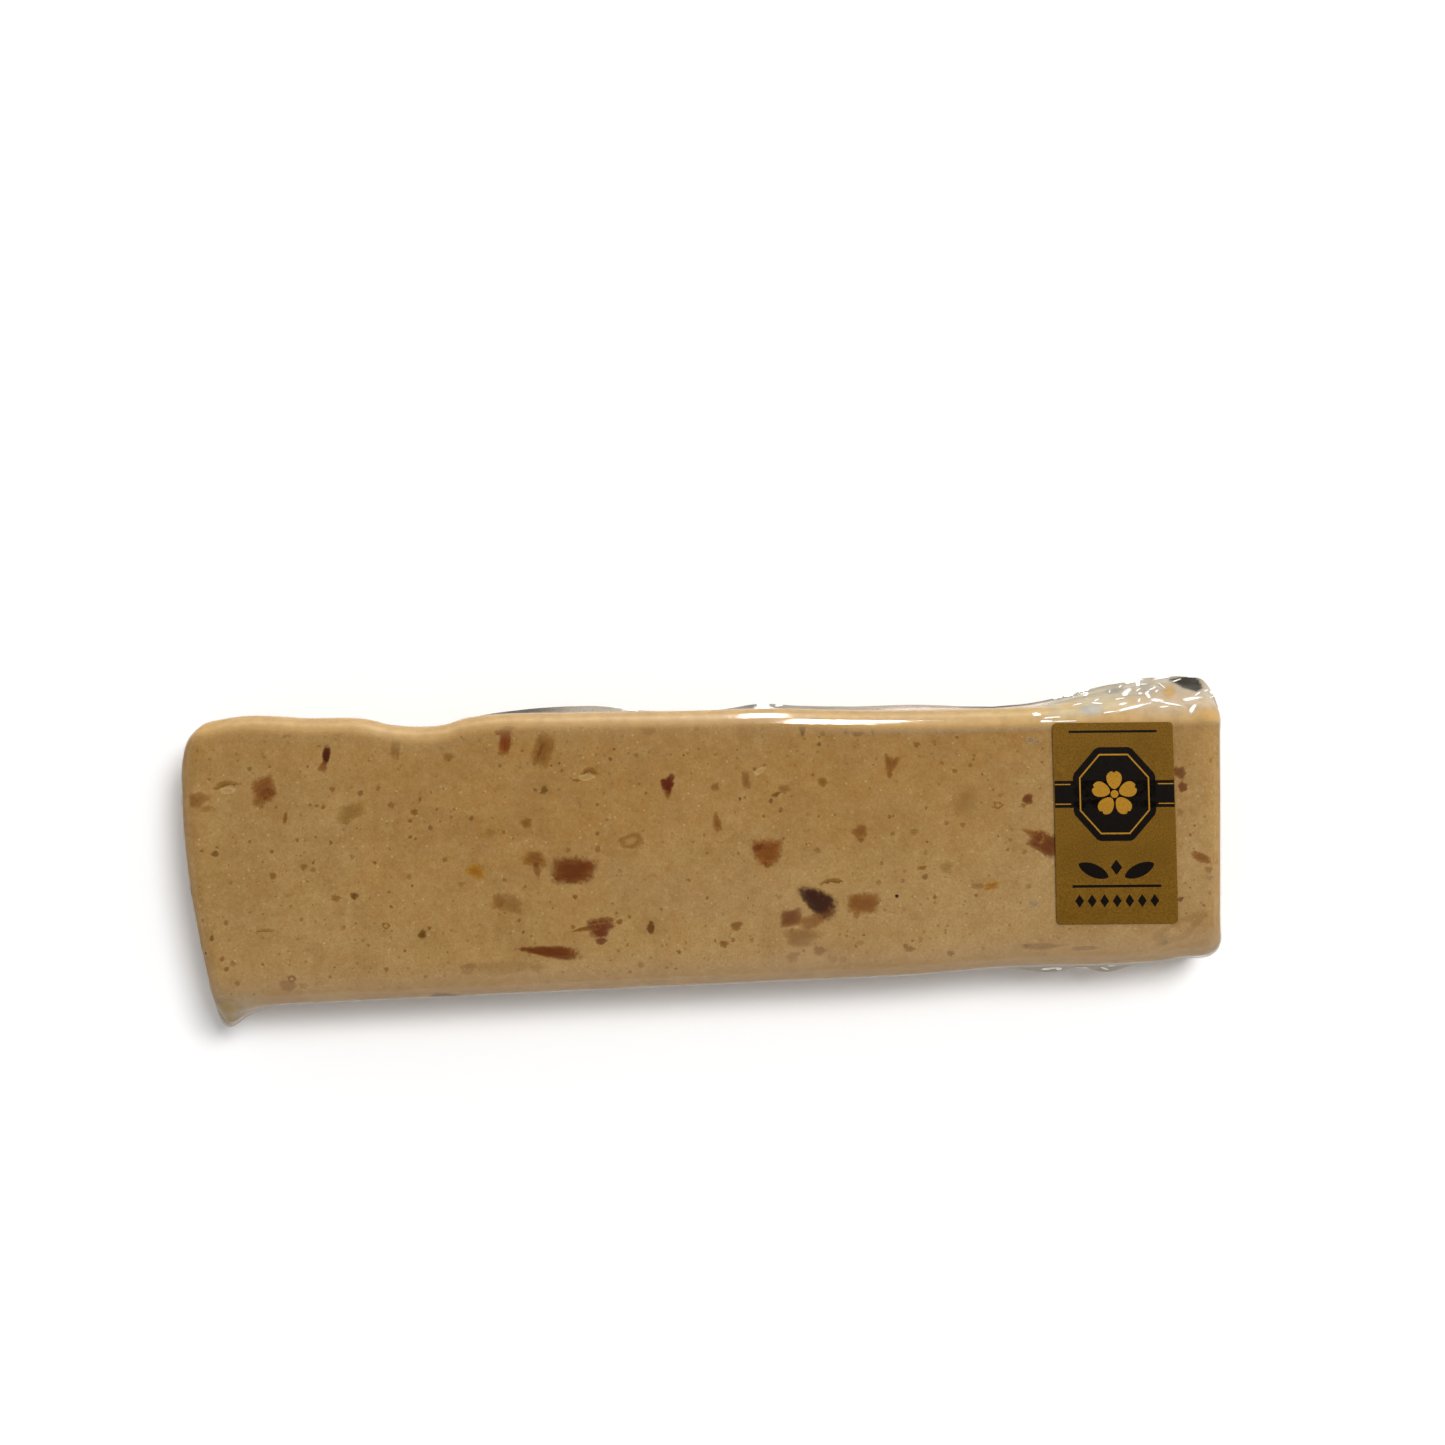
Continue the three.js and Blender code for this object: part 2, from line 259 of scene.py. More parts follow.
PALE_BITS_IN_FACE = (
    # pieces of kernel, pale, tan or olive
    ("crumb", -85.8, 11.4, 1.5, 1.3, 0, OLIVE, 0.7),
    ("crumb", -95.4, 10.5, 2.3, 1.2, 10, OLIVE, 0.5),
    ("arc", -91.6, 15.1, 4.4, 1.7, 8, OLIVE_BROWN, 0.6),
    ("crumb", -91.4, 13.9, 2.7, 1.2, 0, PALE, 0.45),
    ("block", -59.0, 21.4, 4.7, 1.8, 86, OLIVE_BROWN, 0.5),
    ("block", -67.3, 9.0, 5.4, 3.0, 14, OLIVE, 0.6),
    ("crumb", -48.8, 19.1, 2.0, 1.7, 0, OLIVE_BROWN, 0.5),
    ("block", -30.5, 19.8, 6.2, 3.8, 68, OLIVE_BROWN, 0.8),
    ("cigar", -31.3, 19.2, 4.6, 0.9, 66, RED_BROWN, 0.5),
    ("arc", -21.4, 15.4, 3.1, 1.8, 0, OLIVE_BROWN, 0.65),
    ("crumb", -24.1, 13.8, 1.7, 0.6, 0, OLIVE_BROWN, 0.7),
    ("crumb", -22.2, 14.3, 2.7, 1.2, 0, PALE, 0.4),
    ("crumb", -30.3, 12.1, 1.6, 1.2, 70, DARK_OLIVE, 0.75),
    ("crumb", -33.7, 5.8, 2.0, 1.8, 30, OLIVE_BROWN, 0.75),
    ("ring", -13.6, 1.7, 4.0, 2.4, 12, OLIVE_BROWN, 0.65),
    ("crumb", -11.9, 1.3, 1.6, 1.0, 0, OLIVE, 0.4),
    ("crumb", -10.0, 23.0, 2.7, 1.5, 0, OLIVE_BROWN, 0.35),
    ("crumb", -43.4, -3.3, 3.1, 2.4, 160, YELLOW_BROWN, 0.8),
    ("crumb", -46.3, -5.6, 1.7, 0.8, 0, OLIVE, 0.45),
    ("bowl", -37.1, -9.6, 6.0, 3.3, 166, OLIVE_BROWN, 0.42),
    ("crumb", -39.0, -9.2, 2.0, 2.6, 10, BROWN, 0.5),
    ("crumb", -38.2, -22.1, 11.6, 2.4, 0, OLIVE, 0.25),
    ("crumb", -31.8, -22.3, 2.3, 1.5, 0, OLIVE, 0.35),
    ("crumb", -40.7, 4.1, 2.0, 1.5, 0, OLIVE, 0.4),
    ("crumb", 2.7, 11.6, 1.6, 1.4, 50, OLIVE_BROWN, 0.65),
    ("crumb", 11.3, 14.5, 2.4, 1.0, 30, PALE, 0.45),
    ("crumb", 16.0, 10.8, 2.0, 1.5, 0, OLIVE_BROWN, 0.55),
    ("crumb", 14.5, 9.8, 1.6, 0.8, 25, DARK_OLIVE, 0.75),
    ("crumb", 23.5, 11.9, 1.7, 1.6, 0, OLIVE_BROWN, 0.85),
    ("crumb", 30.3, 21.2, 2.3, 1.0, 0, OLIVE_BROWN, 0.55),
    ("arc", 25.2, -7.3, 4.0, 1.3, 4, OLIVE_BROWN, 0.7),
    ("block", 31.4, -11.8, 5.8, 3.6, -4, RUST, 0.75),
    ("crumb", 29.6, -11.3, 2.4, 2.8, -4, BROWN, 0.5),
    ("crumb", 30.0, -14.0, 1.2, 1.2, 0, BROWN, 0.5),
    ("crumb", 22.8, -20.7, 1.9, 1.7, 0, OLIVE_BROWN, 0.7),
    ("crumb", 20.8, -22.9, 5.0, 2.7, 0, PALE, 0.3),
    ("crumb", 25.4, -22.5, 1.9, 1.2, 0, OLIVE, 0.4),
    ("crumb", 27.6, -22.5, 1.5, 1.2, 0, OLIVE, 0.35),
    ("crumb", 40.3, -20.9, 1.9, 1.0, 0, OLIVE_BROWN, 0.65),
    ("block", 50.7, 6.8, 4.9, 4.4, 20, OLIVE, 0.3),
    ("ring", 57.3, 6.4, 1.6, 1.3, 0, OLIVE_BROWN, 0.65),
    ("ring", 92.1, -18.8, 9.8, 3.4, 26, OLIVE_BROWN, 0.26),
    ("block", 56.0, -9.2, 2.8, 1.4, 5, YELLOW_BROWN, 0.75),
    ("crumb", 53.4, -9.1, 2.7, 1.0, 0, TAN_RED, 0.35),
    ("crumb", 47.4, -5.3, 2.5, 2.0, 20, OLIVE, 0.35),
    ("crumb", 41.1, 1.7, 1.6, 1.4, 0, OLIVE, 0.5),
    ("arc", -83.9, -13.5, 3.9, 1.1, 0, OLIVE, 0.45),
    ("crumb", -66.9, -7.3, 1.4, 1.2, 0, DARK_OLIVE, 0.85),
    ("crumb", -70.4, -7.6, 1.8, 1.2, 0, OLIVE_BROWN, 0.6),
    ("crumb", -53.8, -15.2, 1.7, 1.3, 40, DARK_OLIVE, 0.95),
    ("ring", -60.7, -13.3, 1.3, 1.1, 0, OLIVE_BROWN, 0.8),
    ("crumb", -76.7, -24.5, 1.6, 1.2, 0, OLIVE, 0.4),
    ("block", -80.0, 24.2, 1.6, 0.9, 10, OLIVE_BROWN, 0.45),
    ("crumb", -70.1, 24.2, 2.1, 0.8, 0, OLIVE_BROWN, 0.35),
)
# Small dots, each as (x, y, breadth, strength)
DOTS_IN_FACE = (
    (-71.1, 13.5, 1.1, 0.5), (-65.7, 12.6, 1.1, 0.5), (-62.3, 13.5, 1.1, 0.4),
    (-59.8, 10.1, 1.3, 0.55), (-55.3, 8.6, 1.4, 0.8), (-54.2, 11.1, 0.8, 0.6),
    (-72.9, 10.1, 0.9, 0.6), (-75.4, 10.6, 0.6, 0.5), (-87.1, 18.0, 0.9, 0.45),
    (-94.9, 16.2, 0.6, 0.5), (-84.3, 20.2, 0.7, 0.4), (-53.2, 24.4, 1.0, 0.5),
    (-93.7, 1.7, 1.4, 0.65), (-82.6, -2.9, 1.3, 0.65), (-76.6, -1.4, 1.3, 0.6),
    (-74.8, -0.6, 0.6, 0.8), (-74.8, -2.0, 1.0, 0.45), (-71.4, 3.2, 0.9, 0.6),
    (-77.9, 3.9, 0.8, 0.6), (-82.8, 1.8, 0.9, 0.6), (-87.0, 3.9, 0.7, 0.5),
    (-52.4, -14.0, 0.8, 0.7), (-57.1, -18.2, 0.6, 0.7), (-60.7, -21.7, 1.0, 0.6),
    (-89.5, -23.5, 1.1, 0.7), (-91.6, -20.7, 1.1, 0.7), (-92.4, -18.7, 1.1, 0.6),
    (-94.5, -14.7, 1.1, 0.6), (-91.6, -11.7, 1.1, 0.4), (-64.2, -16.9, 0.6, 0.5),
    (-59.8, -9.6, 0.7, 0.6), (-55.7, -5.7, 0.6, 0.8), (-60.2, -6.8, 0.6, 0.5),
    (-56.3, -3.9, 1.1, 0.4), (-62.9, -1.0, 0.8, 0.6), (-67.3, 0.3, 1.1, 0.4),
    (-56.1, 3.8, 0.8, 0.6), (-55.1, 3.4, 0.6, 0.6), (-56.1, 6.9, 0.8, 0.7),
    (-68.4, 7.3, 1.6, 0.45), (-79.2, -9.0, 0.8, 0.35), (-77.1, -11.5, 0.8, 0.35),
    (-69.0, -13.4, 1.1, 0.4), (-86.4, -26.2, 0.6, 0.7), (-90.7, -25.8, 0.6, 0.7),
    (-84.6, -20.0, 0.6, 0.6), (-90.4, -19.7, 1.1, 0.35),
    (-46.3, 24.6, 0.8, 0.8), (-46.3, 22.9, 0.6, 0.65), (-32.0, 12.2, 0.8, 0.5),
    (-27.5, 12.1, 0.8, 0.3), (-16.8, 19.6, 0.6, 0.8), (-17.5, 17.7, 0.8, 0.6),
    (-12.5, 18.3, 1.0, 0.5), (-9.3, 24.7, 0.6, 0.5), (-23.1, 24.0, 1.1, 0.4),
    (-44.3, 7.0, 0.9, 0.6), (-47.6, 8.9, 0.6, 0.5), (-48.2, 7.4, 0.6, 0.5),
    (-38.0, 4.2, 0.8, 0.45), (-52.2, 5.4, 1.0, 0.5), (-20.0, 8.9, 0.6, 0.75),
    (-10.6, 10.9, 0.7, 0.6), (-12.0, 12.7, 0.6, 0.35), (-19.9, 0.3, 1.3, 0.5),
    (-25.6, 0.3, 0.9, 0.4), (-24.1, -1.1, 0.8, 0.5), (-28.9, 16.8, 0.6, 0.6),
    (-27.4, 17.2, 0.6, 0.5), (-38.8, 17.1, 0.8, 0.45), (-24.3, -8.8, 1.0, 0.6),
    (-37.9, -5.1, 0.9, 0.5), (-33.9, -6.5, 0.5, 0.5), (-7.7, -11.7, 0.7, 0.4),
    (-11.6, -22.3, 1.3, 0.45), (-13.7, -23.8, 0.7, 0.7), (-4.8, -23.4, 0.6, 0.9),
    (-18.5, -23.5, 0.5, 0.6), (-4.4, -20.0, 0.8, 0.5), (-49.4, -0.8, 1.1, 0.5),
    (-49.5, -23.3, 0.6, 0.4), (-20.0, 3.3, 0.8, 0.5),
    (28.0, 21.6, 1.0, 0.5), (23.5, 21.4, 1.1, 0.4), (22.8, 19.3, 0.8, 0.7),
    (22.8, 20.7, 0.5, 0.5), (-3.4, 18.0, 0.5, 0.8), (-0.9, 23.2, 1.2, 0.35),
    (10.3, 14.9, 0.8, 0.6), (12.3, 15.5, 0.8, 0.6), (8.5, 9.5, 0.6, 0.45),
    (7.5, 9.2, 0.7, 0.7), (13.5, 8.6, 0.9, 0.6), (15.4, 6.8, 1.1, 0.45),
    (12.1, 5.7, 0.7, 0.5), (21.6, 13.4, 0.8, 0.5), (37.0, 1.5, 0.9, 0.45),
    (37.1, 5.0, 0.5, 0.6), (22.4, -1.2, 1.1, 0.4), (1.2, -1.1, 0.6, 0.4),
    (0.6, 2.4, 0.6, 0.4), (34.3, -7.9, 1.1, 0.35), (34.9, -4.1, 0.8, 0.5),
    (38.9, -7.7, 0.9, 0.4), (1.2, -9.8, 0.6, 0.8), (2.7, -18.2, 0.6, 0.6),
    (6.2, -18.1, 0.9, 0.5), (-4.2, -20.1, 0.8, 0.6), (15.2, -10.1, 0.9, 0.3),
    (17.4, -16.7, 0.9, 0.5), (19.8, -20.6, 0.6, 0.6), (39.5, -20.3, 0.9, 0.5),
    (31.4, -17.9, 0.6, 0.5), (28.1, -18.0, 0.6, 0.4), (30.8, -19.4, 1.2, 0.25),
    (9.8, -18.2, 0.9, 0.35), (49.4, 19.8, 0.8, 0.6), (45.1, 18.6, 0.6, 0.4),
    (51.9, 14.3, 0.9, 0.45), (49.0, 13.3, 1.1, 0.55), (54.2, 12.5, 0.6, 0.45),
    (65.8, 14.5, 0.6, 0.5), (46.5, 14.9, 0.8, 0.4), (52.6, 15.5, 0.6, 0.3),
    (57.8, 8.3, 0.9, 0.35), (50.5, 2.8, 1.1, 0.5), (47.4, 3.3, 0.9, 0.4),
    (43.4, 6.3, 0.6, 0.5), (43.6, -0.3, 0.6, 0.7), (57.3, 0.4, 0.6, 0.35),
    (59.6, -0.4, 0.8, 0.35), (62.4, -2.8, 1.0, 0.35), (43.4, -2.4, 1.0, 0.35),
    (43.2, -7.0, 1.3, 0.5), (45.1, -11.0, 0.9, 0.6), (42.4, -19.2, 1.1, 0.25),
    (54.6, -21.3, 0.8, 0.3), (63.2, -9.5, 1.3, 0.25), (92.4, 3.8, 1.3, 0.25),
    (94.3, -0.5, 0.7, 0.5), (97.2, 2.9, 0.6, 0.3), (98.4, -11.9, 0.8, 0.3),
    (98.7, 13.8, 1.0, 0.3),
)
SPECK_TONES = (BROWN, BROWN, OLIVE_BROWN, OLIVE_BROWN, DARK_OLIVE, RUST)

# Tones of the film where it isn't clear, some of them painted light and shade
# painted light: the glow of the far rim
RIM_PAINTED_LIGHT = on_slope(238, 192, 120)
# painted light: the sheen of the near rim
NEAR_PAINTED_LIGHT = on_slope(216, 184, 142)
# film standing off the nougat, made paler by a painted sheen
LIFTED_SHEEN = on_slope(218, 184, 144)
FIN_PALE = on_slope(183, 172, 146)
# painted shade: the dark of the far fin
FIN_PAINTED_SHADE = (0.055, 0.060, 0.050)
FOLD_OLIVE = on_slope(208, 190, 148)
FOLD_TAN = on_slope(200, 176, 140)
BEIGE_HAZE_AND_SHEEN = on_slope(206, 194, 172)
# painted light: the yellow band along the far rim
BAND_YELLOW = on_slope(216, 178, 106)
OIL_ORANGE = on_slope(200, 152, 56)
OIL_OCHRE = on_slope(216, 168, 98)
AIR_GREY = on_slope(182, 176, 164)
AIR_DARK = on_slope(148, 140, 126)
CLOUDY = on_slope(206, 190, 164)
# painted shade: the dark patch in the fold's corner
PAINTED_DARK_GREY = on_slope(42, 37, 26)
TIP_OLIVE = on_slope(164, 134, 80)
# Tinted places of the film, as they show from the camera at the height of the face, the later
# ones over the earlier: x, y, length, width, turn, softness, tone, strength
FILM_TINTS = (
    (75.0, 25.6, 17.0, 5.0, 8, 1.0, FOLD_OLIVE, 0.75),
    (92.0, 26.2, 18.0, 7.0, 4, 1.0, FOLD_TAN, 0.75),
    (87.0, 29.2, 12.0, 1.6, 8, 0.8, BEIGE_HAZE_AND_SHEEN, 0.6),
    (99.0, 27.0, 3.6, 5.0, 0, 1.0, BEIGE_HAZE_AND_SHEEN, 0.6),
    # the yellow bands lie on the far rim and are painted light, like its glow
    (60.0, 24.1, 16.0, 1.6, 0, 0.7, BAND_YELLOW, 0.7),
    (71.5, 25.2, 4.4, 1.8, 8, 0.8, BAND_YELLOW, 0.6),
    (75.4, 24.4, 4.4, 2.2, 0, 0.7, AIR_GREY, 0.8),
    (79.9, 27.9, 3.6, 1.1, 8, 0.7, AIR_DARK, 0.8),
    (86.0, 28.6, 2.4, 1.3, 0, 0.8, AIR_DARK, 0.5),
    (90.6, 27.4, 2.3, 2.3, 0, 0.9, OIL_ORANGE, 0.9),
    (97.7, 22.9, 3.8, 1.3, -4, 0.7, OIL_OCHRE, 0.7),
    (-92.6, -28.6, 6.0, 4.4, 0, 1.0, TIP_OLIVE, 0.85),
    # pale patches where the film stands off, partly a painted sheen
    (19.0, -21.5, 16.0, 6.5, 6, 1.0, LIFTED_SHEEN, 0.10),
    (2.0, -9.6, 38.0, 9.0, -8, 1.0, LIFTED_SHEEN, 0.05),
)
# Outline of a patch of painted shade and dark reflection in the fold's corner, in the same way
DARK_PATCH_OUTLINE = ((90.5, 29.8), (95.6, 30.4), (96.5, 29.4), (97.2, 27.8), (95.9, 27.1), (93.2, 28.0))
# Creases, painted white as the film's glints, in the same way: x, y, length, width, turn
FILM_CREASES = (
    (64.6, -25.1, 2.2, 0.5, 2), (66.9, -25.15, 1.4, 0.6, 5), (70.6, -25.3, 1.2, 0.5, 0),
    (77.0, -24.9, 2.0, 0.35, 4),
    (64.9, 23.7, 1.6, 0.8, -5), (66.7, 22.3, 2.9, 0.5, 0), (70.2, 22.2, 5.2, 0.3, 0),
    (67.8, 23.0, 3.4, 0.35, 3), (83.6, 24.5, 6.9, 0.65, 12), (79.0, 23.7, 2.5, 0.35, 6),
    (82.4, 27.5, 2.3, 1.1, 38), (81.6, 25.2, 1.5, 0.5, 8), (85.0, 27.1, 0.9, 0.5, 0),
    (86.4, 26.8, 1.7, 0.7, -52), (88.2, 25.7, 2.4, 0.7, -8), (91.0, 24.9, 4.8, 0.35, -13),
    (94.9, 25.8, 4.0, 0.7, 6), (95.0, 23.9, 2.2, 0.9, 52), (83.8, 29.5, 4.3, 0.4, 9),
    (89.7, 30.1, 4.2, 0.5, 9), (74.7, 28.1, 1.2, 0.4, 5), (98.6, 26.9, 1.0, 0.45, -60),
    (89.5, 24.4, 2.1, 0.35, 2), (69.1, 26.8, 2.1, 0.35, 10), (96.1, 26.7, 1.5, 0.4, 30),
    (92.7, 30.5, 3.8, 0.3, 6), (99.8, 25.4, 2.0, 0.35, -75), (85.8, 28.9, 1.6, 0.3, 0),
    (81.0, 26.2, 2.0, 0.3, 4), (72.8, 25.4, 2.0, 0.3, 10), (76.6, 25.5, 2.3, 0.3, -6),
    (15.1, 27.0, 1.7, 0.5, 0), (65.8, -25.0, 3.0, 0.4, 2), (71.7, -25.2, 1.6, 0.4, 0),
    (75.6, -25.4, 1.8, 0.4, -20),
)
RIDGE_HEIGHT = 0.10
SMALL_CREASES = 14
# Small bubbles under the film: x, y, breadth
BUBBLES = (
    (63.3, 18.8, 1.7), (64.7, 18.4, 1.1), (62.6, -12.7, 1.9), (87.4, -20.8, 1.4), (96.7, -8.7, 1.2),
)

# The label's print, in millimetres from the label's middle, with half widths and half heights
LABEL_TURN = math.radians(-1.3)
MEDALLION_V = 5.5
MEDALLION_HALF = (8.6, 9.8)
RING_HALF = (7.3, 8.4)
BAND_SIZE = (23.0, 5.2)
BAND_RULE_PLACE = (9.9, 1.9)
LEAF_HALF = (3.1, 1.25)
LEAF_PLACE = (4.4, -9.2)
LEAF_LEAN = math.radians(24)
PETAL_HALF = (1.75, 1.45)
PETAL_REACH = 2.7
PETAL_NOTCH = 0.35
EYE_RADIUS = 0.75
PRINT_LIFT = 0.012
GOLD_LIFT = 0.024
PRINT_WALL = 0.01

# Lamps, in metres: a key, and two strips by name, x, lower edge, upper edge and width
KEY_PLACE = (1.08, 0.80, 3.0)
KEY_SIZE = 1.15
KEY_RADIANCE = 19.2
STRIPS = (("low_strip", 0.027, 0.005, 0.225, 0.030), ("high_strip", 0.068, 0.275, 0.70, 0.034))
STRIP_Y = 0.42
STRIP_RADIANCE = 76.0
# How far the floor lies under the bar, in millimetres, and how white it is
FLOOR_DROP = 0.1
FLOOR_SHADE = 0.95


def size_of(name, description, default):
    """A setting that is a length."""
    return FloatProperty(name=name, description=description, default=default, unit="LENGTH")


def angle_of(name, description, degrees):
    """A setting that is an angle."""
    return FloatProperty(
        name=name, description=description, default=math.radians(degrees), unit="ROTATION"
    )


def colour_of(name, description, default):
    """A setting that is a colour."""
    return FloatVectorProperty(
        name=name, description=description, default=default, subtype="COLOR", size=3
    )


def count_of(name, description, default):
    """A setting that is a number of things."""
    return IntProperty(name=name, description=description, default=default)


class BarSettings(PropertyGroup):
    """Sizes of the bar and its film."""

    length: size_of("Length", "Bar's length over the film", 0.201)
    width: size_of("Width", "Bar's mean width over the film", 0.052)
    thickness: size_of("Thickness", "Bar's thickness at the rims", 0.0194)
    crown: size_of("Crown", "Extra thickness along the middle", 0.0006)
    rim_radius: size_of("Rim Radius", "Radius of the rounded rims", 0.004)
    film_gap: size_of("Film Gap", "From the nougat to its film", 0.00015)
    seam_height: size_of("Seam Height", "Height of the film's seam", 0.010)
    crumple: size_of("Crumple", "Depth of the crumpled fold", 0.0005)


class LookSettings(PropertyGroup):
    """Colours, and how many small bits there are."""

    tan: colour_of("Tan", "Nougat's main colour", (0.338, 0.170, 0.026))
    pale: colour_of("Pale", "Nougat where it is paler", (0.430, 0.278, 0.110))
    deep: colour_of("Deep", "Nougat where it is darker", (0.283, 0.145, 0.034))
    crumb: colour_of("Crumb", "Fine pale grains", (0.546, 0.391, 0.190))
    gold: colour_of("Gold", "Label's gold paper", (0.176, 0.086, 0.0075))
    ink: colour_of("Ink", "Label's black print", (0.0055, 0.0036, 0.0027))
    specks_in_face: count_of("Specks in the Face", "Tiny dots scattered in the face", 300)
    specks_elsewhere: count_of("Specks Elsewhere", "Tiny dots in the other sides", 620)
    bits_elsewhere: count_of("Bits Elsewhere", "Bits of almond in the other sides", 90)


class StageSettings(PropertyGroup):
    """Camera, floor and lights."""

    lens: FloatProperty(
        name="Lens", description="Focal length on a 36 mm sensor", default=59.8, unit="CAMERA"
    )
    distance: size_of("Distance", "Camera's distance from its target", 0.46337)
    elevation: angle_of("Elevation", "Camera's angle above the floor", 84.0)
    azimuth: angle_of("Azimuth", "Camera's turn round the bar", -1.8)
    floor_size: size_of("Floor Size", "Side of the floor", 8.0)


class NougatBarSettings(PropertyGroup):
    """All settings of the nougat bar."""

    bar: PointerProperty(type=BarSettings)
    look: PointerProperty(type=LookSettings)
    stage: PointerProperty(type=StageSettings)


# ---------------------------------------------------------------- shapes


def line_through(points):
    """A smooth line through the points, level beyond the first and the last."""
    places = np.array([point[0] for point in points], float)
    values = np.array([point[1] for point in points], float)

    def evaluate(where):
        where = np.clip(np.asarray(where, float), places[0], places[-1])
        after = np.clip(np.searchsorted(places, where, side="right"), 1, len(places) - 1)
        start, end = places[after - 1], places[after]
        has_before, has_next = after >= 2, after + 1 < len(places)
        before = np.where(has_before, places[np.maximum(after - 2, 0)], end)
        beyond = np.where(has_next, places[np.minimum(after + 1, len(places) - 1)], start)
        value_before = np.where(has_before, values[np.maximum(after - 2, 0)], values[after])
        value_beyond = np.where(
            has_next, values[np.minimum(after + 1, len(places) - 1)], values[after - 1]
        )
        half = (end - start) / 2
        pull_before, pull_beyond = half / (start - before), half / (beyond - end)
        t = (where - start) / (end - start)
        t2, t3 = t * t, t * t * t
        return (
            (-pull_before * t3 + 2 * pull_before * t2 - pull_before * t) * value_before
            + ((1 + pull_before) * t3 + (-1.5 - 2 * pull_before) * t2
               + (-0.5 + pull_before) * t + 1) * values[after - 1]
            + ((-1 - pull_beyond) * t3 + (1.5 + pull_beyond) * t2 + 0.5 * t) * values[after]
            + (pull_beyond * t3 - pull_beyond * t2) * value_beyond
        )

    return evaluate


far_side = line_through(FAR_SIDE)
near_side = line_through(NEAR_SIDE)
left_end = line_through(LEFT_END)
right_end = line_through(RIGHT_END)
far_seam = line_through(FAR_SEAM)
near_seam = line_through(NEAR_SEAM)
tent_reach = line_through(TENT_REACH)
far_haze = line_through(FAR_HAZE)
far_shade = line_through(FAR_SHADE)


def settings():
    """The settings of this bar."""
    return bpy.context.scene.nougat_bar


def half_size():
    """Half the bar's length, width and thickness."""
    bar = settings().bar
    return np.array((bar.length, bar.width, bar.thickness)) / 2


def face_height(y):
    """Height of the face over the floor at a place across the bar."""
    bar = settings().bar
    return bar.thickness + bar.crown * (1 - (2 * (y - BAR_SHIFT[1]) / bar.width) ** 2)


def turned(u, v, angle):
    """A place turned about the origin."""
    return u * math.cos(angle) - v * math.sin(angle), u * math.sin(angle) + v * math.cos(angle)


def smooth_step(low, high, value):
    """0 below low, 1 above high and a smooth rise between them."""
    share = np.clip((value - low) / (high - low), 0, 1)
    return share * share * (3 - 2 * share)


def bar_skin(spots):
    """Where the spots of a block lie on the bar's skin, which way is out there, and how high."""
    bar = settings().bar
    half = half_size()
    inner = np.clip(spots, bar.rim_radius - half, half - bar.rim_radius)
    out = spots - inner
    out /= np.maximum(np.linalg.norm(out, axis=1, keepdims=True), 1e-12)
    skin = inner + out * bar.rim_radius
    along, across = skin[:, 0] / bar.length + 0.5, skin[:, 1] / bar.width + 0.5
    up = skin[:, 2] + half[2]
    crown = bar.crown * (1 - (2 * skin[:, 1] / bar.width) ** 2)
    left, right = left_end(skin[:, 1] / MM) * MM, right_end(skin[:, 1] / MM) * MM
    x = left + (right - left) * along
    near, far = near_side(x / MM) * MM, far_side(x / MM) * MM
    y = near + (far - near) * across
    z = up + crown * up / bar.thickness
    return np.stack((x, y, z), axis=1), out, up


def film_reach(skin, out, up):
    """How far the film stands off the bar: at its seam, in its fold and at its corners."""
    bar = settings().bar
    off = np.abs(up - bar.seam_height)
    fin = np.maximum(0, 1 - off / (SEAM_HALF * MM))
    above = up > bar.seam_height
    reach = np.where(above, bar.thickness - bar.seam_height, bar.seam_height - TENT_BOTTOM * MM)
    tent = np.maximum(0, 1 - off / reach)
    far = out[:, 1] > 0
    x = skin[:, 0] / MM
    seam = np.where(far, far_seam(x), near_seam(x)) * MM
    fold = np.where(far, tent_reach(x), 0) * MM
    moved = skin.copy()
    moved[:, 0] += out[:, 0] * fin * END_SEAM * MM
    moved[:, 1] += out[:, 1] * (fin * seam + tent * fold)
    moved[:, :2] += corner_pull(skin, tent * np.hypot(out[:, 0], out[:, 1]))
    return moved, fin, tent * fold / (TENT_DEPTH * MM)


def corner_pull(skin, side):
    """How far the pinched corners pull the skin out, in x and y, by how much of a side it is."""
    pulled = np.zeros((len(skin), 2))
    for (place_x, place_y), push, radius in PINCHED_CORNERS:
        away = np.hypot(skin[:, 0] / MM - place_x, skin[:, 1] / MM - place_y)
        pull = np.exp(-((away / radius) ** 2)) * side * MM
        pulled += pull[:, None] * np.array(push)
    return pulled


def facets(place_u, place_v, seed, waves=6, longest=10 * MM, shortest=3.5 * MM):
    """Height of crumpled film, from -1 to 1: flat facets that meet in sharp creases."""
    draw = random.Random(seed)
    height = np.zeros(len(place_u))
    total = 0.0
    for i in range(waves):
        share = i / (waves - 1)
        size = longest * (shortest / longest) ** share
        turn = draw.uniform(0, math.pi)
        run = (place_u * math.cos(turn) + place_v * math.sin(turn)) / size + draw.random()
        weight = size / longest
        height += weight * (4 * np.abs(run - np.floor(run) - 0.5) - 1)
        total += weight
    return height / total


def rim_lines(half, radius, steps, between):
    """Where a block is cut in one direction: even angles in its rims, and the lines between."""
    rim = [half - radius + radius * math.tan((1 - i / steps) * math.pi / 4) for i in range(steps + 1)]
    return np.array([-line for line in rim] + list(between) + rim[::-1])


def even_lines(low, high, step):
    """Evenly spaced lines between low and high, without the two ends."""
    count = max(1, round((high - low) / step))
    return [low + (high - low) * i / count for i in range(1, count)]


# ---------------------------------------------------------------- meshes


def deselect_all():
    """Leaves object mode ready for a new piece, with nothing selected."""
    if bpy.context.object is not None and bpy.context.object.mode != "OBJECT":
        bpy.ops.object.mode_set(mode="OBJECT")
    bpy.ops.object.select_all(action="DESELECT")


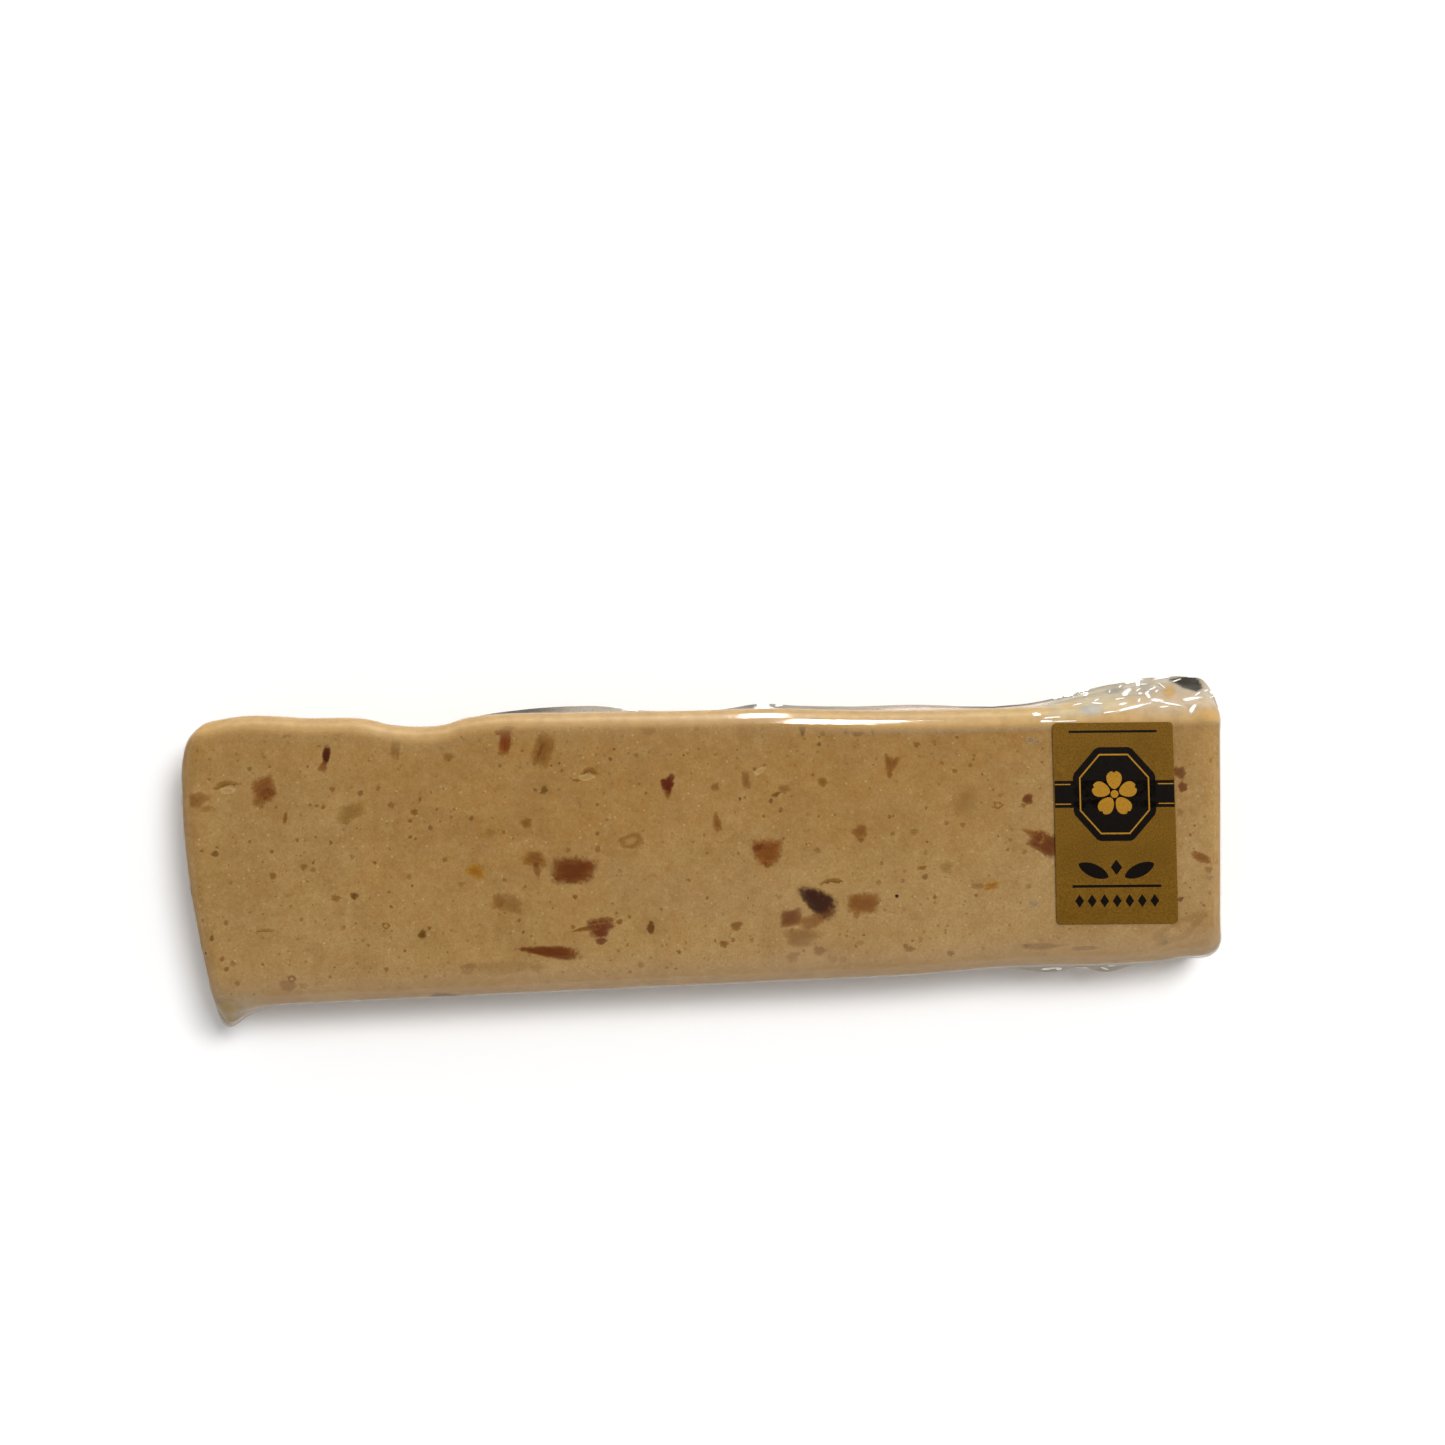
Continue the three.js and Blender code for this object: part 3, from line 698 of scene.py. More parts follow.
def select_only(piece):
    """Makes the piece the one that is selected and active."""
    deselect_all()
    piece.select_set(True)
    bpy.context.view_layer.objects.active = piece


def named(name):
    """The piece that was just added, with its name."""
    made = bpy.context.object
    made.name = made.data.name = name
    return made


def read_spots(piece):
    """Places of a piece's vertices, one row each."""
    spots = np.empty(len(piece.data.vertices) * 3, np.float32)
    piece.data.vertices.foreach_get("co", spots)
    return spots.reshape(-1, 3).astype(float)


def write_spots(piece, spots):
    """Sets the places of a piece's vertices."""
    piece.data.vertices.foreach_set("co", np.asarray(spots, np.float32).ravel())
    piece.data.update()


def write_values(piece, name, values, kind="FLOAT"):
    """Keeps a value for each vertex of a piece, for its material to read."""
    field = {"FLOAT": "value", "FLOAT_COLOR": "color", "FLOAT_VECTOR": "vector"}[kind]
    attribute = piece.data.attributes.get(name) or piece.data.attributes.new(name, kind, "POINT")
    attribute.data.foreach_set(field, np.asarray(values, np.float32).ravel())


def read_rims(piece):
    """How far inside its outline each vertex of a piece lies."""
    rims = np.empty(len(piece.data.vertices), np.float32)
    piece.data.attributes["rim"].data.foreach_get("value", rims)
    return rims


def cut_across(block, axis, cuts):
    """Cuts a block into even slices along one axis."""
    bpy.ops.object.mode_set(mode="EDIT")
    bpy.ops.mesh.select_mode(type="EDGE")
    bpy.ops.mesh.select_all(action="DESELECT")
    mesh = bmesh.from_edit_mesh(block.data)
    for edge in mesh.edges:
        run = edge.verts[1].co - edge.verts[0].co
        edge.select_set(abs(run[axis]) > 0.9 * run.length)
    bmesh.update_edit_mesh(block.data)
    bpy.ops.mesh.subdivide_edgering(number_cuts=cuts, interpolation="LINEAR")
    bpy.ops.object.mode_set(mode="OBJECT")


def block_on_lines(name, *lines):
    """A closed block whose faces are cut along the given lines in x, y and z."""
    deselect_all()
    bpy.ops.mesh.primitive_cube_add(size=1.0)
    block = named(name)
    for axis, places in enumerate(lines):
        cut_across(block, axis, len(places) - 2)
    spots = read_spots(block)
    for axis, places in enumerate(lines):
        steps = np.rint((spots[:, axis] + 0.5) * (len(places) - 1)).astype(int)
        spots[:, axis] = places[steps]
    write_spots(block, spots)
    return block


def finish_piece(piece, material, smooth_angle=60):
    """Shades a piece smooth, gives it its material and lets it ride on the bar's body."""
    select_only(piece)
    bpy.ops.object.shade_smooth_by_angle(angle=math.radians(smooth_angle))
    piece.data.materials.clear()
    piece.data.materials.append(material)
    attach(piece, BODY)
    deselect_all()


def vee_bend(x, y):
    """A vee, notched at its wide end."""
    notch = 0.5 * math.exp(-((y / 0.45) ** 2)) if x > 0 else 0.0
    return x - notch, y * (0.56 + 0.44 * x)


# Kinds of bits, each with the power of the rounded square that it starts from, and how that is
# bent, with the length from -1 to 1 in x and the width from -1 to 1 in y. Other kinds are crumbs
BENDS = {
    "block": (5, lambda x, y: (x * 0.88 + 0.14 * y, y * 0.92)),
    "wedge": (3.2, lambda x, y: (x, y * (0.58 + 0.42 * x))),
    "cigar": (2.4, lambda x, y: (x, y * (0.92 - 0.16 * x))),
    "seed": (2.1, lambda x, y: (x, y * (0.82 + 0.26 * x) + 0.12 * (1 - x * x))),
    "fan": (2.8, lambda x, y: (x * (0.74 + 0.26 * y), y * 0.96)),
    "bowl": (2.3, lambda x, y: (x * (0.88 + 0.12 * y), min(y, 0.5) * 1.25 + 0.25)),
    "drop": (2.4, lambda x, y: (x, y * (0.60 + 0.36 * x))),
    "vee": (3, vee_bend),
    "arc": (2.6, lambda x, y: (x, y * 0.42 - 0.9 * x * x + 0.45)),
}


def outline_at(kind, angle):
    """Where the outline of a kind of bit lies, at an angle round its middle."""
    c, s = math.cos(angle), math.sin(angle)
    if kind not in BENDS:
        ripple = 1 + 0.10 * math.sin(3 * angle + 0.6) + 0.07 * math.sin(5 * angle + 2)
        return c * ripple, s * ripple
    power, bend = BENDS[kind]
    return bend(
        math.copysign(abs(c) ** (2 / power), c), math.copysign(abs(s) ** (2 / power), s)
    )


def flat_disc(name, points, rings):
    """A flat disc of radius 1 with rings of vertices inside it, and a vertex in the middle."""
    deselect_all()
    bpy.ops.mesh.primitive_circle_add(vertices=points, radius=1.0, fill_type="NGON")
    disc = named(name)
    bpy.ops.object.mode_set(mode="EDIT")
    bpy.ops.mesh.select_mode(type="FACE")
    for ring in rings:
        bpy.ops.mesh.inset(thickness=ring * math.cos(math.pi / points), use_even_offset=False)
    bpy.ops.mesh.poke()
    bpy.ops.object.mode_set(mode="OBJECT")
    return disc


def master_bit(kind, points=22):
    """The bit that all bits of one kind are copied from, one unit long and wide either way."""
    disc = flat_disc("master_" + kind, points, (0.16, 0.16, 0.16, 0.2))
    spots = read_spots(disc)
    depth = np.hypot(spots[:, 0], spots[:, 1])
    for spot in spots:
        away = math.hypot(spot[0], spot[1])
        if away > 1e-6:
            x, y = outline_at(kind, math.atan2(spot[1], spot[0]))
            spot[0], spot[1] = x * away, y * away
    write_spots(disc, spots)
    inside = 1 - depth
    if kind == "ring":
        inside = np.maximum(0, 0.55 - np.abs(depth - 0.62) * 1.5)
    if kind == "bubble":
        inside = np.maximum(0, 0.45 - np.abs(depth - 0.84) * 3)
    write_values(disc, "rim", inside)
    return disc


def skin_place(x, y, z):
    """A place on a side of the bar's skin, and the direction out of it, for shares of -1 to 1."""
    skin, out, _ = bar_skin(np.array(((x, y, z),)) * half_size())
    return Vector(skin[0] + BAR_SHIFT), Vector(out[0])


def lay_bits(name, bits, masters, seed, spread=1.38):
    """Joins copies of the masters into one flat-lying piece. Each bit is its kind, middle, way
    out, length, width, turn, tone and strength."""
    mesh = bmesh.new()
    rim_in = mesh.verts.layers.float.new("rim")
    tints, lies = [], []
    for number, (kind, middle, out, length, width, turn, tint, strength) in enumerate(bits):
        master = masters[kind]
        spots = read_spots(master)
        rims = read_rims(master)
        first = Vector((1, 0, 0)) if abs(out.x) < 0.7 else Vector((0, 1, 0))
        first = (first - out * first.dot(out)).normalized()
        second = out.cross(first)
        made = []
        for spot, rim in zip(spots, rims):
            angle = math.atan2(spot[1], spot[0])
            jitter = 0.16 * noise.noise(
                Vector((math.cos(angle) * 1.6, math.sin(angle) * 1.6, seed + number * 7.31))
            )
            u = spot[0] * (1 + jitter) * length / 2 * spread
            v = spot[1] * (1 + jitter) * width / 2 * spread
            right, up = turned(u, v, turn)
            place = middle + first * right + second * up
            vert = mesh.verts.new(place)
            vert[rim_in] = float(rim)
            made.append(vert)
            tints.append((*tint, strength))
            lies.append((u / MM, v / MM, number * 3.7 % 50))
        for face in master.data.polygons:
            mesh.faces.new([made[i] for i in face.vertices])
    data = bpy.data.meshes.new(name)
    mesh.to_mesh(data)
    mesh.free()
    piece = bpy.data.objects.new(name, data)
    bpy.context.scene.collection.objects.link(piece)
    write_values(piece, "tint", tints, "FLOAT_COLOR")
    write_values(piece, "lie", lies, "FLOAT_VECTOR")
    return piece


def apply_modifier(piece, kind, **values):
    """Adds a modifier with the given values and applies it."""
    select_only(piece)
    modifier = piece.modifiers.new(kind.title(), kind)
    for key, value in values.items():
        setattr(modifier, key, value)
    bpy.ops.object.modifier_apply(modifier=modifier.name)


def give_wall(piece, thickness):
    """Gives a flat piece a wall that reaches inwards."""
    apply_modifier(piece, "SOLIDIFY", thickness=thickness, offset=-1.0, use_even_offset=False)


def press_on(piece, ground, lift, wall):
    """Lays a flat piece on the ground's surface and gives it a wall that reaches inwards."""
    apply_modifier(
        piece, "SHRINKWRAP", target=ground, wrap_method="NEAREST_SURFACEPOINT",
        wrap_mode="ABOVE_SURFACE", offset=lift,
    )
    give_wall(piece, wall)


def drop_masters(masters):
    """Removes the masters once everything is copied from them."""
    for master in masters.values():
        bpy.data.objects.remove(master)


# ---------------------------------------------------------------- materials


def node(tree, kind, **values):
    """A new node of a tree, with its own settings."""
    made = tree.nodes.new(kind)
    for key, value in values.items():
        setattr(made, key, value)
    return made


def feed(tree, socket, source):
    """Feeds a socket from another one, or sets it to a value."""
    if isinstance(source, bpy.types.NodeSocket):
        tree.links.new(source, socket)
    elif source is not None:
        socket.default_value = source


def maths(tree, operation, first, second=None, third=None):
    """The result of a sum of one to three values."""
    made = node(tree, "ShaderNodeMath", operation=operation)
    for socket, source in zip(made.inputs, (first, second, third)):
        feed(tree, socket, source)
    return made.outputs[0]


def rise(tree, value, low, high, to_low=0.0, to_high=1.0):
    """A smooth rise from to_low to to_high while the value goes from low to high."""
    made = node(tree, "ShaderNodeMapRange", interpolation_type="SMOOTHSTEP")
    for name, source in (
        ("Value", value), ("From Min", low), ("From Max", high), ("To Min", to_low), ("To Max", to_high),
    ):
        feed(tree, made.inputs[name], source)
    return made.outputs["Result"]


def mixed(tree, share, first, second, way="MIX"):
    """Two colours mixed by a share."""
    made = node(tree, "ShaderNodeMix", data_type="RGBA", blend_type=way, clamp_factor=True)
    feed(tree, made.inputs[0], share)
    feed(tree, made.inputs[6], first)
    feed(tree, made.inputs[7], second)
    return made.outputs[2]


def clouds(tree, place, scale, detail=2.0, roughness=0.5, distortion=0.0):
    """A soft random pattern, between 0 and 1."""
    made = node(tree, "ShaderNodeTexNoise")
    feed(tree, made.inputs["Vector"], place)
    feed(tree, made.inputs["Scale"], scale)
    feed(tree, made.inputs["Detail"], detail)
    feed(tree, made.inputs["Roughness"], roughness)
    feed(tree, made.inputs["Distortion"], distortion)
    return made.outputs["Fac"]


def cells(tree, place, scale):
    """Scattered points: how far the nearest one is, and three random values for each."""
    made = node(tree, "ShaderNodeTexVoronoi")
    feed(tree, made.inputs["Vector"], place)
    feed(tree, made.inputs["Scale"], scale)
    picks = node(tree, "ShaderNodeSeparateColor")
    feed(tree, picks.inputs[0], made.outputs["Color"])
    return made.outputs["Distance"], picks.outputs


def stretched(tree, place, scale, turn=0.0):
    """The place with its own scale in each direction, turned about Z."""
    made = node(tree, "ShaderNodeMapping")
    feed(tree, made.inputs["Vector"], place)
    made.inputs["Scale"].default_value = scale
    made.inputs["Rotation"].default_value = (0.0, 0.0, turn)
    return made.outputs["Vector"]


def shaded(tree, colour, shares):
    """A colour with its red, green and blue multiplied by shares."""
    return mixed(tree, 1.0, colour, (*shares, 1.0), "MULTIPLY")


def colour4(colour):
    """A colour with full strength."""
    return (*tuple(colour)[:3], 1.0)


def new_material(name):
    """A material with an empty tree, and its output node."""
    material = bpy.data.materials.new(name)
    material.use_nodes = True
    tree = material.node_tree
    tree.nodes.clear()
    return material, tree, node(tree, "ShaderNodeOutputMaterial")


def place_on_object(tree):
    """Object coordinates."""
    return node(tree, "ShaderNodeTexCoord").outputs["Object"]


def value_of(tree, name, output="Fac"):
    """A value that is kept in the piece's mesh."""
    return node(tree, "ShaderNodeAttribute", attribute_name=name).outputs[output]


def bumped(tree, height, strength, distance):
    """A normal with relief from a height pattern."""
    made = node(tree, "ShaderNodeBump")
    made.inputs["Strength"].default_value = strength
    made.inputs["Distance"].default_value = distance
    feed(tree, made.inputs["Height"], height)
    return made.outputs["Normal"]


def tint_of(tree):
    """The tint that is kept in the piece's mesh, and its strength."""
    made = node(tree, "ShaderNodeAttribute", attribute_name="tint")
    return made.outputs["Color"], made.outputs["Alpha"]


def ragged_edge(tree, pattern, raggedness):
    """How far inside a bit's outline a spot lies, where a pattern makes the outline ragged."""
    off = maths(tree, "SUBTRACT", pattern, 0.5)
    return maths(tree, "MULTIPLY_ADD", off, raggedness, value_of(tree, "rim"))


def two_shaders(tree, share, first, second):
    """Two shaders mixed by a share."""
    made = node(tree, "ShaderNodeMixShader")
    feed(tree, made.inputs[0], share)
    feed(tree, made.inputs[1], first)
    feed(tree, made.inputs[2], second)
    return made.outputs[0]


def over_clear(tree, share, shader, through=(1.0, 1.0, 1.0, 1.0)):
    """A shader that covers only a share of what lies behind it."""
    clear = node(tree, "ShaderNodeBsdfTransparent")
    clear.inputs["Color"].default_value = through
    return two_shaders(tree, share, clear.outputs[0], shader)


def principled(tree, colour, roughness, gloss, normal=None, metallic=0.0):
    """An even surface of a colour, with its roughness, gloss and relief."""
    made = node(tree, "ShaderNodeBsdfPrincipled")
    feed(tree, made.inputs["Base Color"], colour)
    feed(tree, made.inputs["Roughness"], roughness)
    feed(tree, made.inputs["Specular IOR Level"], gloss)
    feed(tree, made.inputs["Metallic"], metallic)
    feed(tree, made.inputs["Normal"], normal)
    return made.outputs[0]


def mirror(tree, roughness, normal):
    """A mirror, blurred by its roughness."""
    made = node(tree, "ShaderNodeBsdfGlossy")
    feed(tree, made.inputs["Roughness"], roughness)
    feed(tree, made.inputs["Normal"], normal)
    return made.outputs[0]


def nougat_material():
    """Dense, fine-grained tan nougat."""
    material, tree, output = new_material("Nougat")
    look = settings().look
    tan, pale, deep, crumb = map(colour4, (look.tan, look.pale, look.deep, look.crumb))
    place = place_on_object(tree)
    split = node(tree, "ShaderNodeSeparateXYZ")
    feed(tree, split.inputs[0], place)
    x, y = split.outputs["X"], split.outputs["Y"]
    # paler towards the right end of the near side and at the right end, deeper at the left end: painted
    # sheen and painted shade, laid over the nougat's own uneven tone
    unevenness = maths(tree, "SUBTRACT", clouds(tree, place, 26.0, 2.0), 0.5)
    sheen_and_paleness = maths(tree, "MULTIPLY_ADD", y, -17.0, 0.46)
    sheen_and_paleness = maths(tree, "MULTIPLY_ADD", maths(tree, "MULTIPLY", x, y), -95.0, sheen_and_paleness)
    sheen_and_paleness = maths(tree, "MULTIPLY_ADD", unevenness, 1.6, sheen_and_paleness)
    body = mixed(tree, rise(tree, sheen_and_paleness, 0.0, 1.0), tan, pale)
    body = mixed(tree, rise(tree, x, 0.082, 0.096, 0.0, 0.55), body, pale)
    left = rise(tree, x, -0.104, -0.066, 0.32, 0.0)
    body = mixed(tree, maths(tree, "MULTIPLY_ADD", unevenness, 0.8, left), body, deep)
    # soft mottling of a few millimetres
    middle = clouds(tree, place, 120.0, 3.0, 0.6)
    body = mixed(tree, rise(tree, middle, 0.40, 0.66, 0.0, 0.5), body, deep)
    patches = clouds(tree, place, 310.0, 3.0, 0.65, 0.4)
    body = mixed(tree, rise(tree, patches, 0.46, 0.72, 0.0, 0.30), body, pale)
    # mottling of every size from 4 mm down: darker and olive, or lighter and less yellow
    level = node(tree, "ShaderNodeMapRange", clamp=True)
    feed(tree, level.inputs["Value"], clouds(tree, place, 330.0, 6.0, 1.0))
    feed(tree, level.inputs["From Min"], 0.34)
    feed(tree, level.inputs["From Max"], 0.66)
    low = shaded(tree, body, (0.80, 0.745, 0.62))
    high = mixed(tree, 0.30, body, crumb)
    body = mixed(tree, level.outputs["Result"], low, high)
    drift = clouds(tree, stretched(tree, place, (1.0, 1.0, 1.0), 1.1), 420.0, 3.0, 0.8)
    reddish = shaded(tree, body, (1.0, 0.90, 0.88))
    body = mixed(tree, rise(tree, drift, 0.44, 0.66, 0.0, 0.6), body, reddish)
    # fine grain, dust, pale grains and brown grains
    grain = clouds(tree, place, 2100.0, 3.0, 0.8)
    body = mixed(tree, rise(tree, grain, 0.38, 0.62, 0.45, 0.0), body, deep)
    away, picks = cells(tree, place, 560.0)
    near_dust = rise(tree, away, 0.06, 0.24, 1.0, 0.0)
    dust = maths(tree, "MULTIPLY", near_dust, rise(tree, picks[2], 0.70, 0.95, 0.0, 0.5))
    body = mixed(tree, dust, body, DUST_BROWN)
    away, picks = cells(tree, place, 1050.0)
    near_point = rise(tree, away, 0.12, 0.34, 1.0, 0.0)
    pale_grain = maths(tree, "MULTIPLY", near_point, rise(tree, picks[0], 0.86, 0.90))
    brown_grain = maths(tree, "MULTIPLY", near_point, rise(tree, picks[1], 0.90, 0.94))
    body = mixed(tree, maths(tree, "MULTIPLY", pale_grain, 0.4), body, crumb)
    body = mixed(tree, maths(tree, "MULTIPLY", brown_grain, 0.36), body, GRAIN_BROWN)
    relief = maths(tree, "MULTIPLY_ADD", grain, 0.4, middle)
    relief = maths(tree, "MULTIPLY_ADD", pale_grain, 0.3, relief)
    roughness = rise(tree, grain, 0.3, 0.7, 0.62, 0.78)
    surface = principled(tree, body, roughness, 0.1, bumped(tree, relief, 0.35, 0.0004))
    feed(tree, output.inputs["Surface"], surface)
    return material


def almond_material(name, softness, fibres):
    """A bit of almond that shows through the nougat's surface, soft and ragged at its edge."""
    material, tree, output = new_material(name)
    place = place_on_object(tree)
    tint, strength = tint_of(tree)
    lie = value_of(tree, "lie", "Vector")
    streaks = clouds(tree, stretched(tree, lie, (0.35, 2.6, 1.0)), 1.0, 3.0, 0.65)
    blots = clouds(tree, place, 900.0, 3.0, 0.6)
    edge = ragged_edge(tree, clouds(tree, place, 1500.0, 3.0, 0.7), 0.5)
    # darker in the middle and in its grooves, lighter and warmer towards the edge
    core = rise(tree, edge, 0.10, 0.80)
    groove = rise(tree, streaks, 0.38, 0.62, 0.45, -0.45)
    depth = maths(tree, "ADD", core, maths(tree, "MULTIPLY", groove, fibres))
    dark = shaded(tree, tint, (0.84, 0.72, 0.58))
    warm = shaded(tree, tint, (1.20, 1.34, 1.22))
    # thin in places, least of all in the middle
    thin = rise(tree, blots, 0.28, 0.60, 1.0 - 0.4 * fibres, 1.0)
    thin = maths(tree, "MULTIPLY_ADD", maths(tree, "SUBTRACT", 1.0, thin), core, thin)
    mask = rise(tree, edge, 0.02, 0.32 + softness)
    mask = maths(tree, "MULTIPLY", maths(tree, "MULTIPLY", mask, thin), strength)
    # as it is level with the face, it throws no shadow on it
    in_shadow = node(tree, "ShaderNodeLightPath").outputs["Is Shadow Ray"]
    mask = maths(tree, "MULTIPLY", mask, maths(tree, "SUBTRACT", 1.0, in_shadow))
    colour = mixed(tree, depth, warm, dark)
    surface = principled(tree, colour, 0.75, 0.0, bumped(tree, blots, 0.3, 0.0003))
    feed(tree, output.inputs["Surface"], over_clear(tree, mask, surface))
    return material


def slant_gloss(tree, normal, straight):
    """Share of the light that a thin film mirrors: the given share straight on, half at a slant.
    It is the same from inside, as film has two faces."""
    facing = node(tree, "ShaderNodeLayerWeight")
    facing.inputs["Blend"].default_value = 0.5
    feed(tree, facing.inputs["Normal"], normal)
    slant = maths(tree, "POWER", facing.outputs["Facing"], 5.0)
    return maths(tree, "MULTIPLY_ADD", slant, 0.5, straight)


def film_shader(tree, cloudiness, cloud_colour, normal, gloss_share=1.0):
    """Clear film with a cloudy share, and a gloss that grows at a slant."""
    cloudy = principled(tree, cloud_colour, 0.5, 0.1, normal)
    body = over_clear(tree, cloudiness, cloudy, CLEAR_TONE)
    gloss = two_shaders(tree, 0.25, mirror(tree, 0.07, normal), mirror(tree, 0.42, normal))
    share = maths(tree, "MULTIPLY", slant_gloss(tree, normal, 0.04), gloss_share)
    return two_shaders(tree, share, body, gloss)


def film_material():
    """Tight clear film, hazy and tinted where it is folded, with fine stretch lines."""
    material, tree, output = new_material("Clear Film")
    place = place_on_object(tree)
    tint, strength = tint_of(tree)
    blots = clouds(tree, place, 420.0, 3.0, 0.6)
    cloudiness = maths(tree, "MULTIPLY", strength, rise(tree, blots, 0.25, 0.7, 0.92, 1.05))
    darker = shaded(tree, tint, (0.66, 0.64, 0.56))
    cloud = mixed(tree, rise(tree, blots, 0.35, 0.65, 0.16, 0.0), tint, darker)
    lines = clouds(tree, stretched(tree, place, (0.25, 1.0, 1.0)), 900.0, 3.0, 0.55)
    normal = bumped(tree, lines, 0.25, 0.00006)
    surface = film_shader(tree, cloudiness, cloud, normal, value_of(tree, "shine"))
    feed(tree, output.inputs["Surface"], surface)
    return material


def film_mark_material():
    """A small bubble under the film, soft at its edge."""
    material, tree, output = new_material("Film Mark")
    tint, strength = tint_of(tree)
    ragged = clouds(tree, place_on_object(tree), 1300.0, 3.0, 0.7)
    mask = rise(tree, ragged_edge(tree, ragged, 0.35), 0.02, 0.42)
    mask = maths(tree, "MULTIPLY", mask, strength)
    surface = film_shader(tree, mask, tint, bumped(tree, ragged, 0.3, 0.0001))
    feed(tree, output.inputs["Surface"], surface)
    return material


def glint_crease_material():
    """A sharp crease of the film, painted near white as a glint that shows under any light, and glossy."""
    material, tree, output = new_material("Film Crease Glint")
    wrinkles = clouds(tree, place_on_object(tree), 1400.0, 2.0, 0.6)
    share = rise(tree, ragged_edge(tree, wrinkles, 0.5), 0.05, 0.55, 0.0, 0.95)
    painted_glint = principled(tree, GLINT_WHITE, 0.2, 0.5)
    feed(tree, output.inputs["Surface"], over_clear(tree, share, painted_glint))
    return material


def paper_material(name, colour, grain_share, roughness, metallic):
    """Satin label paper or its print, with a fine grain."""
    material, tree, output = new_material(name)
    place = place_on_object(tree)
    grain = clouds(tree, place, 3200.0, 2.0, 0.7)
    broad = clouds(tree, place, 160.0, 2.0)
    darker = shaded(tree, colour4(colour), (0.62, 0.60, 0.55))
    lighter = shaded(tree, colour4(colour), (1.35, 1.32, 1.30))
    body = mixed(tree, rise(tree, grain, 0.38, 0.62), darker, lighter)
    body = mixed(tree, grain_share, colour4(colour), body)
    body = mixed(tree, rise(tree, broad, 0.4, 0.75, 0.0, 0.3), body, darker)
    satin = rise(tree, grain, 0.35, 0.65, roughness, roughness + 0.1)
    surface = principled(tree, body, satin, 0.12, bumped(tree, grain, 0.12, 0.0001), metallic)
    feed(tree, output.inputs["Surface"], surface)
    return material


# ---------------------------------------------------------------- operators


class NOUGATBAR_OT_add_nougat(Operator):
    """Add the nougat bar itself, without its film"""

    bl_idname = "nougatbar.add_nougat"
    bl_label = "Add Nougat"

    def execute(self, context):
        bar = settings().bar
        radius = bar.rim_radius
        half = half_size()
        lines = [
            rim_lines(size, radius, steps=6, between=even_lines(radius - size, size - radius, step=0.9 * MM))
            for size in half
        ]
        nougat = block_on_lines("nougat", *lines)
        skin, out, up = bar_skin(read_spots(nougat))
        tent = 1 - np.abs(up - bar.seam_height) / (bar.thickness - bar.seam_height)
        side = np.clip(tent, 0, 1) * np.hypot(out[:, 0], out[:, 1])
        pulled = corner_pull(skin, side) * PINCH_FILL
        relief = np.array(
            [0.07 * noise.noise(Vector(spot) * 90) + 0.03 * noise.noise(Vector(spot) * 420) for spot in skin]
        )
        sunk = bar.film_gap + NOUGAT_SUNK * MM - np.clip(relief, -0.09, 0.08)[:, None] * MM
        skin[:, :2] += pulled
        write_spots(nougat, skin - out * sunk + BAR_SHIFT)
        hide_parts("wrapped_bar")
        finish_piece(nougat, nougat_material())
        return {"FINISHED"}


def camera_place():
    """Where the camera stands, and the direction from its target back to it."""
    stage = settings().stage
    level = math.cos(stage.elevation)
    back = Vector(
        (math.sin(stage.azimuth) * level, -math.cos(stage.azimuth) * level, math.sin(stage.elevation))
    )
    return Vector(CAMERA_TARGET) * MM + back * stage.distance, back


def laid_true(x, y):
    """A place in the face, in millimetres. The places above are as read from a view that is turned
    by almost two degrees and closes a little towards the far side."""
    top, turn, shift = 20.8, 0.0314, 0.14
    lean, flare, closing = 0.0303, 0.000223, 0.00019
    down = top - turn * x - y
    return x - shift - down * (lean + flare * x), y + closing * down * down


def bits_in_face(bits):
    """The bits that are listed for the face, ready to be laid."""
    laid = []
    for kind, x, y, length, width, turn, tint, strength in bits:
        x, y = laid_true(x, y)
        place = Vector((x * MM, y * MM, face_height(y * MM) + LAID_OVER_FACE * MM))
        laid.append(
            (kind, place, Vector((0, 0, 1)), length * MM, width * MM, math.radians(turn), tint, strength)
        )
    return laid


def bits_elsewhere(draw, count, kinds, tints, sizes, strengths):
    """Bits scattered over the underside, the sides and the ends, as thickly as in the face."""
    bar = settings().bar
    areas = {
        "under": bar.length * bar.width,
        "far": bar.length * bar.thickness,
        "near": bar.length * bar.thickness,
        "left": bar.width * bar.thickness,
        "right": bar.width * bar.thickness,
    }
    laid = []
    for _ in range(count):
        side = draw.choices(list(areas), list(areas.values()))[0]
        a, b = draw.uniform(-0.9, 0.9), draw.uniform(-0.72, 0.72)
        shares = {
            "under": (a, b * 1.1, -1), "far": (a, 1, b), "near": (a, -1, b),
            "left": (-1, a * 0.9, b), "right": (1, a * 0.9, b),
        }[side]
        place, out = skin_place(*shares)
        length = draw.uniform(*sizes) * MM
        width = length * draw.uniform(0.45, 0.95)
        laid.append(
            (draw.choice(kinds), place + out * LAID_OVER_SIDE * MM, out, length, width,
             draw.uniform(0, math.tau), draw.choice(tints), draw.uniform(*strengths))
        )
    return laid


